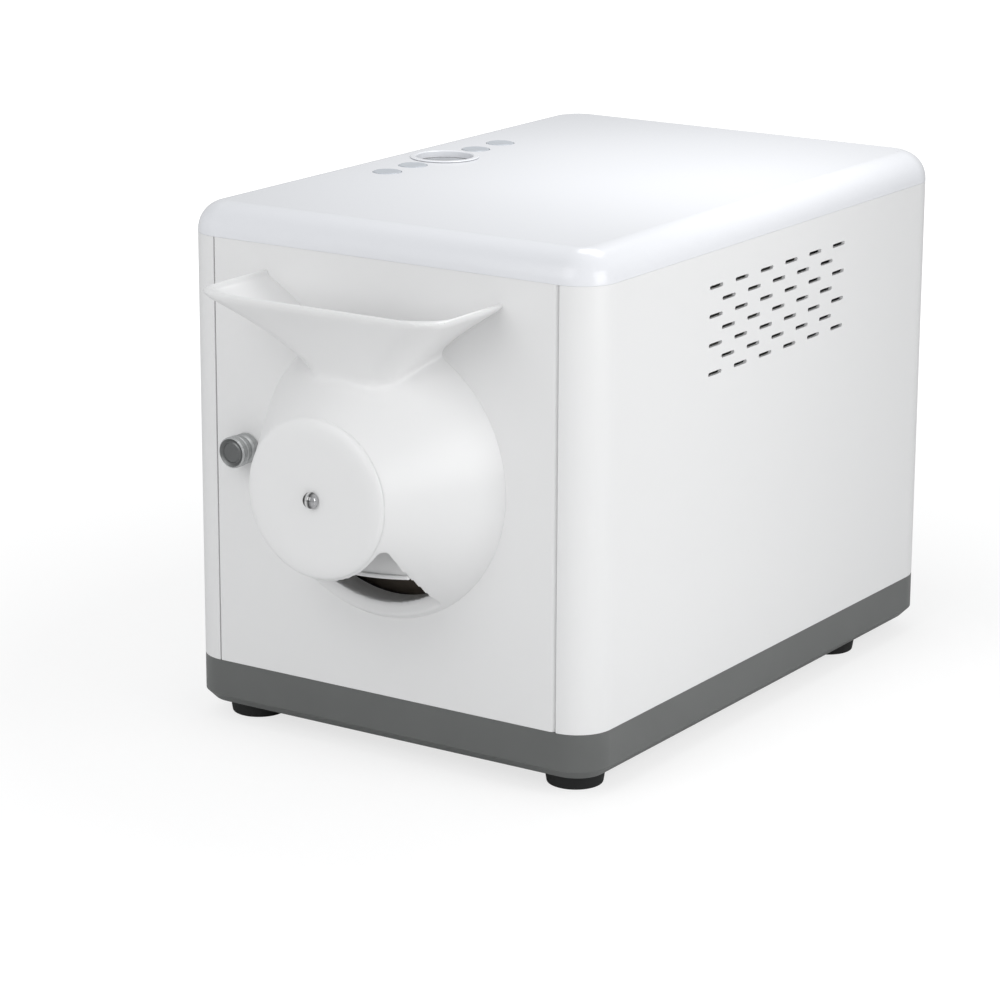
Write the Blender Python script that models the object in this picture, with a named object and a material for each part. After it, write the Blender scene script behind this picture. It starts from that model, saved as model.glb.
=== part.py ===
"""Home coffee bean roaster: a turning drum in a white box, loaded and emptied through its front door.

The beans go in at the wide hopper on the door, and a turning drum roasts them over two heating
tubes. Turned the other way, the drum's helical vanes push them out, and they fall from the spout
under the cone. Lengths are in metres, +Z is up, and the door faces -Y.
"""
import math

import bmesh
import bpy
from mathutils import Matrix, Vector

# Whole body, measured from the door's face (y = 0, going back) and from the table (z = 0)
BODY_W = 0.260
BODY_D = 0.381
BODY_TOP = 0.289
FOOT_H = 0.010
BASE_H = 0.0254
COVER_H = 0.0171
FRONT_CORNER_R = 0.0205
REAR_CORNER_R = 0.027
COVER_EDGE_R = 0.016
BASE_CHAMFER = 0.005
BASE_WALL = 0.0025
BASE_FLOOR = 0.003
SKIN = 0.002
COVER_WALL = 0.0025
REAR_SEAM_INSET = 0.040

# Gaps, and how far a cut runs past what it cuts
GAP = 0.0003
SEAM = 0.0008
OVER = 0.001
MERGE = 0.000001
SMOOTH_ANGLE = math.radians(35)

# Round steps of large, middle and small turned pieces
BIG_STEPS = 40
DRUM_STEPS = 32
MID_STEPS = 20
SMALL_STEPS = 10
CORNER_STEPS = 4

# Front door
DOOR_SIDE_INSET = 0.0215
DOOR_T = 0.012
DOOR_SKIN = 0.003
DOOR_RIM = 0.003
HINGE_R = 0.003
DOOR_COLLAR_WALL = 0.006
PIN_R = 0.0015
PIN_IN_DOOR = 0.010
HINGE_COLUMN_W = 0.010
PIN_IN_BODY = 0.006
PIN_BOSS_HALF = 0.005
RETURN_DEPTH = 0.014
GASKET_WALL = 0.004
GASKET_T = 0.0042

# Roasting axis, and the casting on the door
AXIS_HEIGHT_SHARE = 0.5163
KNOB_STRIP_W = 0.0305
CONE_LAP = 0.010
CAP_SHARE = 0.5205
CAP_STAND_OFF = 0.0615
CAP_T = 0.0025
CAP_SHADOW = 0.001
CAP_BOSS_R = 0.009
CAST_WALL = 0.003
FLANGE_T = 0.004
MOUTH_SIDE_INSET = 0.0325
MOUTH_DEPTH = 0.0625
MOUTH_CORNER_R = 0.012
LIP_DROP = 0.0134
NECK_HEIGHT_SHARE = 0.7115
NECK_WIDTH_SHARE = 0.6222
NECK_DEPTH = 0.033
NECK_CORNER_R = 0.009
NECK_DROP = 0.020
FLARE_POWER = 1.5
FLARE_SECTIONS = 6
SPOUT_WIDTH_SHARE = 0.4744
SPOUT_TOP_SHARE = 0.3192
BAFFLE_Y = 0.031
BAFFLE_T = 0.0012
BAFFLE_LOW_SHARE = 0.5769
BAFFLE_TOP_SHARE = 0.2244
BAFFLE_BOW = 0.003
BAFFLE_HEM = 0.0024
CHUTE_T = 0.0012
CHUTE_WALL_H = 0.007
CHUTE_FRONT_DROP = 0.013
CHUTE_BACK_SHARE = 0.3222
CHUTE_EAR_H = 0.010
CHUTE_REACH = 0.014
NUT_R = 0.005
NUT_H = 0.005
STUD_R = 0.002
CAST_PEG_ANGLES = (20, -25, 160, 205)
PEG_R = 0.0016
PEG_L = 0.0045

# Latch on the door
KNOB_INSET = 0.020
KNOB_RISE = 0.0015
KNOB_R = 0.0085
KNOB_H = 0.016
KNOB_HEAD_H = 0.0062
KNOB_NECK_R = 0.0072
KNOB_COLLAR_R = 0.0092
KNOB_COLLAR_H = 0.0042
KNOB_DISH = 0.0005
KNOB_DISH_R = 0.0066
SPINDLE_R = 0.003
SPINDLE_END_R = 0.002
SPINDLE_BOSS_R = 0.006
LATCH_BAR_L = 0.016
LATCH_BAR_W = 0.0075
LATCH_BAR_T = 0.002
SLOT_ROOM = 0.0012

# Sheet chassis inside
CHASSIS_T = 0.0015
CHASSIS_DROP = 0.0054
CHASSIS_SIDE_ROOM = 0.006
CHASSIS_FRONT_Y = 0.0145
CHASSIS_BACK_ROOM = 0.009
POST_R = 0.005
POST_SIDE_INSET = 0.058
POST_DEPTH_SHARES = (0.1312, 0.4987, 0.9239)
BULKHEAD_T = 0.0015
BULKHEAD_SIDE_ROOM = 0.010
BULKHEAD_DROP = 0.0099
BULKHEAD_FOOT = 0.012
FRONT_BULKHEAD_Y = 0.0166
REAR_WORKS_DEPTH = 0.149
BUSH_WALL = 0.005
BUSH_LAP = 0.0035
BUSH_FLANGE_T = 0.0015

# Drum and roasting chamber
DRUM_ROOM = 0.008
DRUM_HEIGHT_SHARE = 0.2537
DRUM_WALL = 0.0012
DRUM_FRONT_Y = 0.0245
DRUM_END_ROOM = 0.010
DRUM_COLLAR_SHARE = 0.75
DRUM_COLLAR_WALL = 0.001
DRUM_COLLAR_Y = 0.003
DRUM_PLATE_T = 0.002
DRUM_PLATE_HOLE_R = 0.006
DRUM_PLATE_RING_SHARE = 0.6
DRUM_PLATE_HOLES = 6
VANE_COUNT = 4
VANE_H = 0.011
VANE_T = 0.0012
VANE_TURN = math.radians(130)
VANE_STEPS = 9
CHAMBER_WALL = 0.001
INSULATION_T = 0.0085
SHAFT_R = 0.005
SHAFT_HUB_R = 0.013
SHAFT_HUB_T = 0.003
BEARING_R = 0.011
BEARING_L = 0.007
BEARING_FLANGE_R = 0.014
BEARING_FLANGE_T = 0.0015

# Drive
GEAR_ROOM = 0.003725
GEAR_TEETH = 54
PINION_TEETH = 15
GEAR_W = 0.006
GEAR_STAND_OFF = 0.010
GEAR_HUB_R = 0.010
GEAR_HUB_L = 0.003
PRESSURE_ANGLE = math.radians(20)
ADDENDUM_SHARE = 0.85
DEDENDUM_SHARE = 1.2
BACKLASH = 0.0004
FLANK_STEPS = 2
PINION_ANGLE = math.radians(225)
PINION_W = 0.008
PINION_SHAFT_R = 0.003
PINION_SHAFT_IN = 0.006
MOTOR_PLATE_STAND_OFF = 0.012
MOTOR_PLATE_T = 0.002
MOTOR_PLATE_SIDE = 0.026
MOTOR_PLATE_SHARE = 0.5714
GEARBOX_SHARE = 0.3575
GEARBOX_L = 0.024
MOTOR_SHARE = 0.8919
MOTOR_L = 0.040

# Heat
HEATER_R = 0.0025
HEATER_STAND_OFF = 0.0042
HEATER_FRONT_Y = 0.026
HEATER_TAIL = 0.010
HEATER_ANGLES = ((-125, -105), (-75, -55))
HEATER_BEND_STEPS = 3
HEATER_HOLE_ROOM = 0.0006
PROBE_R = 0.0015
PROBE_ANGLE = math.radians(140)
PROBE_IN = 0.030
PROBE_STEPS = 6
PROBE_HEX_R = 0.005
PROBE_HEX_T = 0.004
PROBE_TAIL = 0.006
CUTOUT_R = 0.008
CUTOUT_T = 0.006
CUTOUT_SIDE_INSET = 0.058
CUTOUT_RISE = 0.0385
CUTOUT_EAR = 0.012
CUTOUT_EAR_T = 0.001

# Exhaust
EXHAUST_INSET = 0.012
EXHAUST_R = 0.0095
DUCT_WALL = 0.001
DUCT_STRAIGHT_L = 0.022
DUCT_L = 0.066
FAN_RISE = 0.013
FAN_R = 0.0315
FAN_WALL = 0.002
FAN_HUB_R = 0.009
FAN_HUB_L = 0.010
FAN_BLADES = 5
FAN_BLADE_T = 0.0012
FAN_BLADE_W = 0.012
FAN_BLADE_TILT = math.radians(40)
FAN_TIP_ROOM = 0.0015
FAN_ROTOR_IN = 0.004
FAN_SHAFT_R = 0.0015
FAN_MOTOR_R = 0.0115
FAN_MOTOR_L = 0.016
FAN_RING_WALL = 0.002
FAN_SPOKE_W = 0.004
FAN_SPOKES = 3

# Vents in the side casings and in the rear panel
VENT_L = 0.0138
VENT_H = 0.0021
VENT_START_SHARE = 0.3189
VENT_PITCH = 0.02696
VENT_TOP_DROP = 0.0364
VENT_ROW_PITCH = 0.0078
VENT_ROWS = 7
VENT_PER_ROW = 6
REAR_VENT_SEAM_ROOM = 0.038
REAR_VENT_ROWS = 6
REAR_VENT_L = 0.040
REAR_VENT_LOW_Z = 0.105
GRILLE_PITCH = 0.0056
GRILLE_SLOT_H = 0.0030
GRILLE_RIM = 0.004
REAR_T = 0.0015
REAR_LAP = 0.0135
REAR_SCREW_INSET = 0.007
REAR_SCREW_RISE = 0.0143
REAR_SCREW_DROP = 0.0096
REAR_SCREW_NAMES = ("rear_screw_low_left", "rear_screw_low_right", "rear_screw_high_left",
                    "rear_screw_high_right")

# Mains inlet and main switch on the rear panel
INLET_SEAM_ROOM = 0.028
INLET_Z = 0.066
INLET_W = 0.0275
INLET_H = 0.0200
INLET_WALL = 0.0015
INLET_DEPTH = 0.017
INLET_FLANGE = 0.0022
INLET_FLANGE_T = 0.0012
INLET_PIN_L = 0.0095
INLET_PIN_W = 0.002
INLET_PIN_H = 0.004
INLET_PIN_PITCH = 0.007
INLET_PIN_RISE = 0.0015
SWITCH_PITCH = 0.040
SWITCH_Z = 0.066
SWITCH_W = 0.0130
SWITCH_H = 0.0195
SWITCH_WALL = 0.0012
SWITCH_DEPTH = 0.014
SWITCH_FLANGE = 0.0015
SWITCH_FLANGE_T = 0.0012
KEY_ROOM = 0.0009
KEY_T = 0.0042
KEY_TILT = math.radians(7)
KEY_PIVOT_IN = 0.0046

# Controls on the top cover
CONTROLS_SIDE_INSET = 0.0395
CONTROLS_DEPTH_SHARE = 0.5008
BUTTON_OFFSETS = (-0.0568, -0.0318, 0.0318, 0.0575)
BUTTON_NAMES = ("button_a", "button_b", "button_c", "button_d")
BUTTON_R = 0.008
BUTTON_PROUD = 0.0004
BUTTON_FLANGE = 0.0014
BUTTON_FLANGE_T = 0.0012
BUTTON_STEM_R = 0.0025
BUTTON_TRAVEL = 0.0008
DISPLAY_RING_R = 0.01975
DISPLAY_RING_T = 0.0006
DISPLAY_R = 0.0165
DISPLAY_SLEEVE_WALL = 0.0012
DISPLAY_SLEEVE_L = 0.0052
DISPLAY_LEDGE = 0.002
DISPLAY_DEPTH = 0.003
LENS_T = 0.001
BOARD_T = 0.0016
BOARD_DROP = 0.0135
BOARD_HALF_W = 0.018
BOARD_END = 0.013
TACT_W = 0.006
TACT_H = 0.0038
LCD_W = 0.022
BOARD_POST_W = 0.004

# Power board on the chassis
PCB_W = 0.068
PCB_SIDE_ROOM = 0.016
PCB_D = 0.076
PCB_BACK_INSET = 0.041
PCB_TALL = 0.034
PCB_T = 0.0016
PCB_RISE = 0.008
PCB_FOOT_W = 0.006
PCB_PARTS_SHARES = ((0.08, 0.10, 0.45, 0.50, 0.88), (0.58, 0.12, 0.90, 0.42, 0.65),
                    (0.10, 0.62, 0.36, 0.90, 0.47), (0.50, 0.58, 0.94, 0.72, 1.00))

# Feet, and the screws of the rear panel
FOOT_SIDE_INSET = 0.026
FOOT_FRONT_INSET = 0.028
FOOT_REAR_INSET = 0.076
FOOT_R = 0.0165
FOOT_TAPER = 0.0015
FOOT_EDGE = 0.0015
FOOT_PEG_R = 0.0032
FOOT_PEG_L = 0.009
FOOT_BOSS_H = 0.010
FOOT_BOSS_R = 0.0065
SCREW_HEAD_R = 0.0031
SCREW_HEAD_H = 0.0018
SCREW_R = 0.0015
SCREW_L = 0.008

# Derived places
HALF_W = BODY_W / 2
BASE_TOP = FOOT_H + BASE_H
COVER_Z = BODY_TOP - COVER_H
CASING_LOW = BASE_TOP + GAP
CASING_HIGH = COVER_Z - GAP
DOOR_SEAM_X = HALF_W - DOOR_SIDE_INSET
REAR_SEAM_X = HALF_W - REAR_SEAM_INSET
AXIS_Z = BASE_TOP + (COVER_Z - BASE_TOP) * AXIS_HEIGHT_SHARE
DRUM_R = min(DOOR_SEAM_X - KNOB_STRIP_W - CONE_LAP - DRUM_ROOM, (COVER_Z - BASE_TOP) * DRUM_HEIGHT_SHARE)
CHAMBER_R = DRUM_R + DRUM_ROOM
DOOR_MOUTH_R = CHAMBER_R
CONE_R = DOOR_MOUTH_R + CONE_LAP
CAP_R = CONE_R * CAP_SHARE
DRUM_COLLAR_R = DRUM_R * DRUM_COLLAR_SHARE
DRUM_PLATE_HOLE_RING_R = DRUM_R * DRUM_PLATE_RING_SHARE
MOUTH_HOLE_R = DRUM_COLLAR_R + BUSH_WALL
BUSH_FLANGE_R = MOUTH_HOLE_R + BUSH_LAP
MOUTH_HALF_W = DOOR_SEAM_X - MOUTH_SIDE_INSET
LIP_Z = COVER_Z - LIP_DROP
NECK_Z = AXIS_Z + CONE_R * NECK_HEIGHT_SHARE
NECK_HALF_W = DRUM_COLLAR_R * NECK_WIDTH_SHARE
SPOUT_HALF_W = CONE_R * SPOUT_WIDTH_SHARE
SPOUT_TOP_Z = AXIS_Z - CONE_R * SPOUT_TOP_SHARE
BAFFLE_LOW_Z = AXIS_Z - CONE_R * BAFFLE_LOW_SHARE
BAFFLE_TOP_Z = AXIS_Z - CONE_R * BAFFLE_TOP_SHARE
CHUTE_FRONT_Z = NECK_Z - CHUTE_FRONT_DROP
CHUTE_BACK_Z = AXIS_Z + DRUM_COLLAR_R * CHUTE_BACK_SHARE
KNOB_X = KNOB_INSET - DOOR_SEAM_X
KNOB_Z = AXIS_Z + KNOB_RISE
CHASSIS_HALF_W = HALF_W - CHASSIS_SIDE_ROOM
POST_X = HALF_W - POST_SIDE_INSET
BULKHEAD_HALF_W = HALF_W - BULKHEAD_SIDE_ROOM
BULKHEAD_TOP_Z = COVER_Z - BULKHEAD_DROP
REAR_BULKHEAD_Y = BODY_D - REAR_WORKS_DEPTH
DRUM_BACK_Y = REAR_BULKHEAD_Y - DRUM_END_ROOM
HEATER_RING_R = DRUM_R + HEATER_STAND_OFF
EXHAUST_RISE = CHAMBER_R - EXHAUST_INSET
EXHAUST_Z = AXIS_Z + EXHAUST_RISE
DUCT_LOW_RISE = EXHAUST_RISE - EXHAUST_R - DUCT_WALL
FAN_Z = EXHAUST_Z + FAN_RISE
GEAR_MODULE = (DUCT_LOW_RISE - GEAR_ROOM) / (GEAR_TEETH / 2 + ADDENDUM_SHARE)
GEAR_Y = REAR_BULKHEAD_Y + GEAR_STAND_OFF
MOTOR_PLATE_Y = GEAR_Y + MOTOR_PLATE_STAND_OFF
MOTOR_PLATE_ABOVE = DUCT_LOW_RISE * MOTOR_PLATE_SHARE
CUTOUT_X = BULKHEAD_HALF_W - CUTOUT_SIDE_INSET
CUTOUT_Z = AXIS_Z + CUTOUT_RISE
VENT_FIRST_Y = BODY_D * VENT_START_SHARE
VENT_TOP_Z = BODY_TOP - VENT_TOP_DROP
REAR_VENT_X = REAR_SEAM_X - REAR_VENT_SEAM_ROOM
REAR_SCREW_ZS = (CASING_LOW + REAR_SCREW_RISE, CASING_HIGH - REAR_SCREW_DROP)
INLET_X = REAR_SEAM_X - INLET_SEAM_ROOM
SWITCH_X = INLET_X - SWITCH_PITCH
CONTROLS_X = CONTROLS_SIDE_INSET - HALF_W
DISPLAY_Y = BODY_D * CONTROLS_DEPTH_SHARE
BUTTON_YS = tuple(DISPLAY_Y + offset for offset in BUTTON_OFFSETS)
PCB_X = (CHASSIS_HALF_W - PCB_SIDE_ROOM - PCB_W, CHASSIS_HALF_W - PCB_SIDE_ROOM)
PCB_Y = (BODY_D - PCB_BACK_INSET - PCB_D, BODY_D - PCB_BACK_INSET)
FOOT_X = HALF_W - FOOT_SIDE_INSET
FOOT_YS = (FOOT_FRONT_INSET, BODY_D - FOOT_REAR_INSET)
HINGE_X = DOOR_SEAM_X - HINGE_R
HINGE_Y = HINGE_R
STRIP_X = DOOR_SEAM_X + SEAM
CHASSIS_Z = BASE_TOP - CHASSIS_DROP
FLOOR_Z = CHASSIS_Z + CHASSIS_T + GAP
CONE_SLOPE = (CONE_R - CAP_R) / CAP_STAND_OFF
WALL_ALONG_R = CAST_WALL * math.hypot(1, CONE_SLOPE)
CAST_FRONT_Y = CAP_STAND_OFF - CAP_T - CAP_SHADOW
REAR_FACE_Y = BODY_D - SKIN - GAP
REAR_INNER_Y = REAR_FACE_Y - REAR_T
REAR_HALF_W = REAR_SEAM_X + REAR_LAP
DUCT_Y = REAR_BULKHEAD_Y + BULKHEAD_T + GAP
FAN_Y = DUCT_Y + DUCT_L + GAP
FAN_OUT_R = FAN_R + FAN_WALL
CENTRE_DISTANCE = GEAR_MODULE * (GEAR_TEETH + PINION_TEETH) / 2
GEARBOX_R = CENTRE_DISTANCE * GEARBOX_SHARE
MOTOR_R = GEARBOX_R * MOTOR_SHARE
PINION_X = CENTRE_DISTANCE * math.cos(PINION_ANGLE)
PINION_Z = AXIS_Z + CENTRE_DISTANCE * math.sin(PINION_ANGLE)
MOTOR_Y = MOTOR_PLATE_Y + MOTOR_PLATE_T + GAP
SHAFT_END_Y = MOTOR_PLATE_Y + MOTOR_PLATE_T + BEARING_L
BOARD_Z = BODY_TOP - BOARD_DROP
COVER_INSIDE_Z = BODY_TOP - COVER_WALL
LATCH_Y = FRONT_BULKHEAD_Y + BULKHEAD_T + GAP
FRONT_REACH = CAP_STAND_OFF + NUT_H
KEY_FACE_Y = REAR_FACE_Y + GAP + SWITCH_FLANGE_T
BACK_REACH = max(BODY_D + GAP + SCREW_HEAD_H, KEY_FACE_Y + (SWITCH_H / 2) * math.sin(KEY_TILT))
FACE_Y = (FRONT_REACH - BACK_REACH) / 2

AXES = {
    "X": (Vector((0, 1, 0)), Vector((0, 0, 1)), Vector((1, 0, 0))),
    "Y": (Vector((1, 0, 0)), Vector((0, 0, 1)), Vector((0, 1, 0))),
    "Z": (Vector((1, 0, 0)), Vector((0, 1, 0)), Vector((0, 0, 1))),
}


# Scene and materials

def clear_scene():
    for thing in list(bpy.data.objects):
        bpy.data.objects.remove(thing, do_unlink=True)


def material(name, colour, roughness, metallic=0.0):
    made = bpy.data.materials.new(name)
    made.use_nodes = True
    shader = made.node_tree.nodes["Principled BSDF"]
    shader.inputs["Base Color"].default_value = (*colour, 1)
    shader.inputs["Roughness"].default_value = roughness
    shader.inputs["Metallic"].default_value = metallic
    made.diffuse_color = (*colour, 1)
    return made


def make_materials():
    return {
        "white_paint": material("white_paint", (0.86, 0.86, 0.86), 0.30),
        "white_cast": material("white_cast", (0.88, 0.88, 0.87), 0.35),
        "white_top": material("white_top", (0.89, 0.90, 0.93), 0.25),
        "grey_base": material("grey_base", (0.14, 0.145, 0.14), 0.45),
        "black_rubber": material("black_rubber", (0.015, 0.016, 0.016), 0.80),
        "knob_metal": material("knob_metal", (0.28, 0.29, 0.29), 0.35, 1.0),
        "chrome": material("chrome", (0.80, 0.80, 0.82), 0.08, 1.0),
        "button_grey": material("button_grey", (0.60, 0.62, 0.65), 0.40),
        "dark_glass": material("dark_glass", (0.05, 0.05, 0.06), 0.08),
        "steel": material("steel", (0.48, 0.48, 0.48), 0.35, 1.0),
        "dark_steel": material("dark_steel", (0.09, 0.08, 0.07), 0.50, 1.0),
        "fibre": material("fibre", (0.72, 0.69, 0.62), 0.95),
        "silicone": material("silicone", (0.30, 0.09, 0.05), 0.60),
        "brass": material("brass", (0.60, 0.44, 0.20), 0.35, 1.0),
        "gear_plastic": material("gear_plastic", (0.75, 0.74, 0.68), 0.50),
        "motor_grey": material("motor_grey", (0.30, 0.31, 0.32), 0.45, 1.0),
        "board_green": material("board_green", (0.03, 0.16, 0.08), 0.50),
        "black_plastic": material("black_plastic", (0.02, 0.02, 0.02), 0.45),
        "heater_glass": material("heater_glass", (0.55, 0.45, 0.38), 0.25),
    }


# Mesh building

def spot(axis, u, v, along):
    across, up, out = AXES[axis]
    return across * u + up * v + out * along


def finish_solids(bm):
    bmesh.ops.recalc_face_normals(bm, faces=bm.faces[:])
    return bm


def add_prism(bm, outline, low, high, axis="Z"):
    """A solid whose section is the outline, from low to high along the axis."""
    ring = [bm.verts.new(spot(axis, u, v, low)) for u, v in outline]
    face = bm.faces.new(ring)
    grown = bmesh.ops.extrude_face_region(bm, geom=[face])
    moved = [item for item in grown["geom"] if isinstance(item, bmesh.types.BMVert)]
    bmesh.ops.translate(bm, verts=moved, vec=spot(axis, 0, 0, high - low))


def add_box(bm, x, y, z):
    outline = [(x[0], y[0]), (x[1], y[0]), (x[1], y[1]), (x[0], y[1])]
    add_prism(bm, outline, z[0], z[1])


def add_turned(bm, profile, centre, axis="Y", steps=MID_STEPS):
    """A profile of (radius, place along the axis) turned round the axis through the centre."""
    across, up, out = AXES[axis]
    middle = spot(axis, centre[0], centre[1], 0)
    before = set(bm.verts)
    ring = [bm.verts.new(middle + across * radius + out * along) for radius, along in profile]
    edges = [bm.edges.new((ring[i], ring[(i + 1) % len(ring)])) for i in range(len(ring))]
    bmesh.ops.spin(bm, geom=ring + edges, cent=middle, axis=out, angle=math.tau,
                   steps=steps, use_merge=True)
    fresh = [vert for vert in bm.verts if vert not in before]
    bmesh.ops.remove_doubles(bm, verts=fresh, dist=MERGE)


def add_disc(bm, radius, low, high, centre, axis="Y", steps=MID_STEPS):
    add_turned(bm, [(0, low), (radius, low), (radius, high), (0, high)], centre, axis, steps)


def add_loft(bm, rings):
    """A closed solid through rings of points, with flat ends and triangles between the rings."""
    rows = [[bm.verts.new(point) for point in ring] for ring in rings]
    count = len(rows[0])
    for lower, upper in zip(rows, rows[1:]):
        for i in range(count):
            j = (i + 1) % count
            bm.faces.new((lower[i], lower[j], upper[j]))
            bm.faces.new((lower[i], upper[j], upper[i]))
    bm.faces.new(list(reversed(rows[0])))
    bm.faces.new(rows[-1])


def arc(centre_u, centre_v, radius, start, end, steps):
    points = []
    for i in range(steps + 1):
        angle = start + (end - start) * i / steps
        points.append((centre_u + radius * math.cos(angle), centre_v + radius * math.sin(angle)))
    return points


def body_outline(inset):
    """The body's plan, with its small front and larger rear corners, drawn in by the inset."""
    half = HALF_W - inset
    front = inset
    back = BODY_D - inset
    front_r = max(FRONT_CORNER_R - inset, GAP)
    rear_r = max(REAR_CORNER_R - inset, GAP)
    quarter = math.pi / 2
    forwards = math.tau - quarter
    outline = arc(-half + front_r, front + front_r, front_r, math.pi, forwards, CORNER_STEPS)
    outline += arc(half - front_r, front + front_r, front_r, forwards, math.tau, CORNER_STEPS)
    outline += arc(half - rear_r, back - rear_r, rear_r, 0, quarter, CORNER_STEPS)
    outline += arc(-half + rear_r, back - rear_r, rear_r, quarter, math.pi, CORNER_STEPS)
    return outline


def body_ring(inset, z):
    return [Vector((x, y, z)) for x, y in body_outline(inset)]


def new_object(name, bm, look, parent):
    finish_solids(bm)
    mesh = bpy.data.meshes.new(name)
    bm.to_mesh(mesh)
    bm.free()
    mesh.shade_smooth()
    mesh.set_sharp_from_angle(angle=SMOOTH_ANGLE)
    made = bpy.data.objects.new(name, mesh)
    bpy.context.scene.collection.objects.link(made)
    if look is not None:
        mesh.materials.append(look)
    made.parent = parent
    if parent is not None and parent.parent is not None:
        made.location = -parent.location
    return made


def guide(name, bm, parent):
    made = new_object(name, bm, None, parent)
    made.hide_render = True
    made.display_type = "WIRE"
    return made


def shape(piece, operation, name, bm):
    """Cuts the solids in bm out of the piece, fuses them to it or trims it to them."""
    tool = guide(name, bm, piece.parent)
    modifier = piece.modifiers.new(name, "BOOLEAN")
    modifier.operation = operation
    modifier.object = tool
    modifier.solver = "EXACT"
    flat = piece.modifiers.new(name + "_triangles", "TRIANGULATE")
    flat.min_vertices = 5
    return modifier


def cut(piece, name, bm):
    return shape(piece, "DIFFERENCE", name, bm)


def fuse(piece, name, bm):
    return shape(piece, "UNION", name, bm)


def trim(piece, name, bm):
    return shape(piece, "INTERSECT", name, bm)


def pivot(name, place, root):
    empty = bpy.data.objects.new(name, None)
    bpy.context.scene.collection.objects.link(empty)
    empty.parent = root
    empty.location = place
    return empty


def slot_outline(u, v, length, height):
    across = length / 2
    up = height / 2
    return [(u - across, v - up), (u + across, v - up), (u + across, v + up), (u - across, v + up)]


def add_screw_hole(bm, u, v, low, high, axis):
    add_disc(bm, SCREW_R + GAP, low, high, (u, v), axis, SMALL_STEPS)


# Base, chassis and casing

def foot_places():
    return [(side * FOOT_X, y) for y in FOOT_YS for side in (-1, 1)]


def post_places():
    return [(side * POST_X, BODY_D * share) for share in POST_DEPTH_SHARES for side in (-1, 1)]


def post_profile():
    """A post that the chassis plate lies on, with a peg that goes up through the plate."""
    shoulder = CHASSIS_Z - GAP
    end = CHASSIS_Z + CHASSIS_T + PEG_R
    return [(0, FOOT_H + OVER), (POST_R, FOOT_H + OVER), (POST_R, shoulder), (PEG_R, shoulder),
            (PEG_R, end), (0, end)]


def add_pin_boss(bm, wall, low, high):
    """A block behind the front wall that takes one of the door's hinge pins."""
    add_box(bm, (HINGE_X - PIN_BOSS_HALF, HINGE_X + PIN_BOSS_HALF), (wall / 2, HINGE_Y + PIN_BOSS_HALF),
            (low, high))


def make_base_tray(look, root):
    bm = bmesh.new()
    add_loft(bm, [body_ring(BASE_CHAMFER, FOOT_H), body_ring(0, FOOT_H + BASE_CHAMFER),
                  body_ring(0, BASE_TOP)])
    tray = new_object("base_tray", bm, look, root)
    bm = bmesh.new()
    add_loft(bm, [body_ring(BASE_CHAMFER + BASE_WALL, FOOT_H + BASE_FLOOR),
                  body_ring(BASE_WALL, FOOT_H + BASE_FLOOR + BASE_CHAMFER),
                  body_ring(BASE_WALL, BASE_TOP + OVER)])
    cut(tray, "tray_hollow", bm)
    bm = bmesh.new()
    for x, y in foot_places():
        add_disc(bm, FOOT_BOSS_R, FOOT_H + OVER, FOOT_H + BASE_FLOOR + FOOT_BOSS_H, (x, y), "Z",
                 SMALL_STEPS)
    for x, y in post_places():
        add_turned(bm, post_profile(), (x, y), "Z", SMALL_STEPS)
    add_pin_boss(bm, BASE_WALL, FOOT_H + BASE_CHAMFER, BASE_TOP)
    fuse(tray, "tray_bosses", bm)
    bm = bmesh.new()
    for x, y in foot_places():
        add_disc(bm, FOOT_PEG_R + GAP, FOOT_H - OVER, FOOT_H + FOOT_PEG_L + GAP, (x, y), "Z",
                 SMALL_STEPS)
    add_disc(bm, PIN_R + GAP, BASE_TOP - PIN_IN_BODY - GAP, BASE_TOP + OVER, (HINGE_X, HINGE_Y),
             "Z", SMALL_STEPS)
    cut(tray, "tray_holes", bm)
    return tray


def make_foot(name, x, y, look, root):
    bm = bmesh.new()
    top = FOOT_H - GAP
    profile = [(0, 0), (FOOT_R - FOOT_TAPER - FOOT_EDGE, 0), (FOOT_R - FOOT_TAPER, FOOT_EDGE),
               (FOOT_R, top), (FOOT_PEG_R, top), (FOOT_PEG_R, FOOT_H + FOOT_PEG_L),
               (0, FOOT_H + FOOT_PEG_L)]
    add_turned(bm, profile, (x, y), "Z", MID_STEPS)
    return new_object(name, bm, look, root)


def make_chassis_plate(look, root):
    bm = bmesh.new()
    low = CHASSIS_Z
    high = CHASSIS_Z + CHASSIS_T
    back = BODY_D - CHASSIS_BACK_ROOM
    corner = REAR_CORNER_R - CHASSIS_BACK_ROOM
    half = CHASSIS_HALF_W
    outline = [(-half, CHASSIS_FRONT_Y), (half, CHASSIS_FRONT_Y)]
    outline += arc(half - corner, back - corner, corner, 0, math.pi / 2, CORNER_STEPS)
    outline += arc(-half + corner, back - corner, corner, math.pi / 2, math.pi, CORNER_STEPS)
    add_prism(bm, outline, low, high)
    plate = new_object("chassis_plate", bm, look, root)
    bm = bmesh.new()
    for x, y in post_places():
        add_disc(bm, PEG_R + GAP, low - OVER, high + OVER, (x, y), "Z", SMALL_STEPS)
    cut(plate, "chassis_holes", bm)
    return plate


def vent_places():
    """Centres of the staggered vent slots: full rows with rows one slot shorter between them."""
    places = []
    for row in range(VENT_ROWS):
        short = row % 2
        start = VENT_FIRST_Y + short * VENT_PITCH / 2
        for i in range(VENT_PER_ROW - short):
            places.append((start + i * VENT_PITCH, VENT_TOP_Z - row * VENT_ROW_PITCH))
    return places


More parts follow.
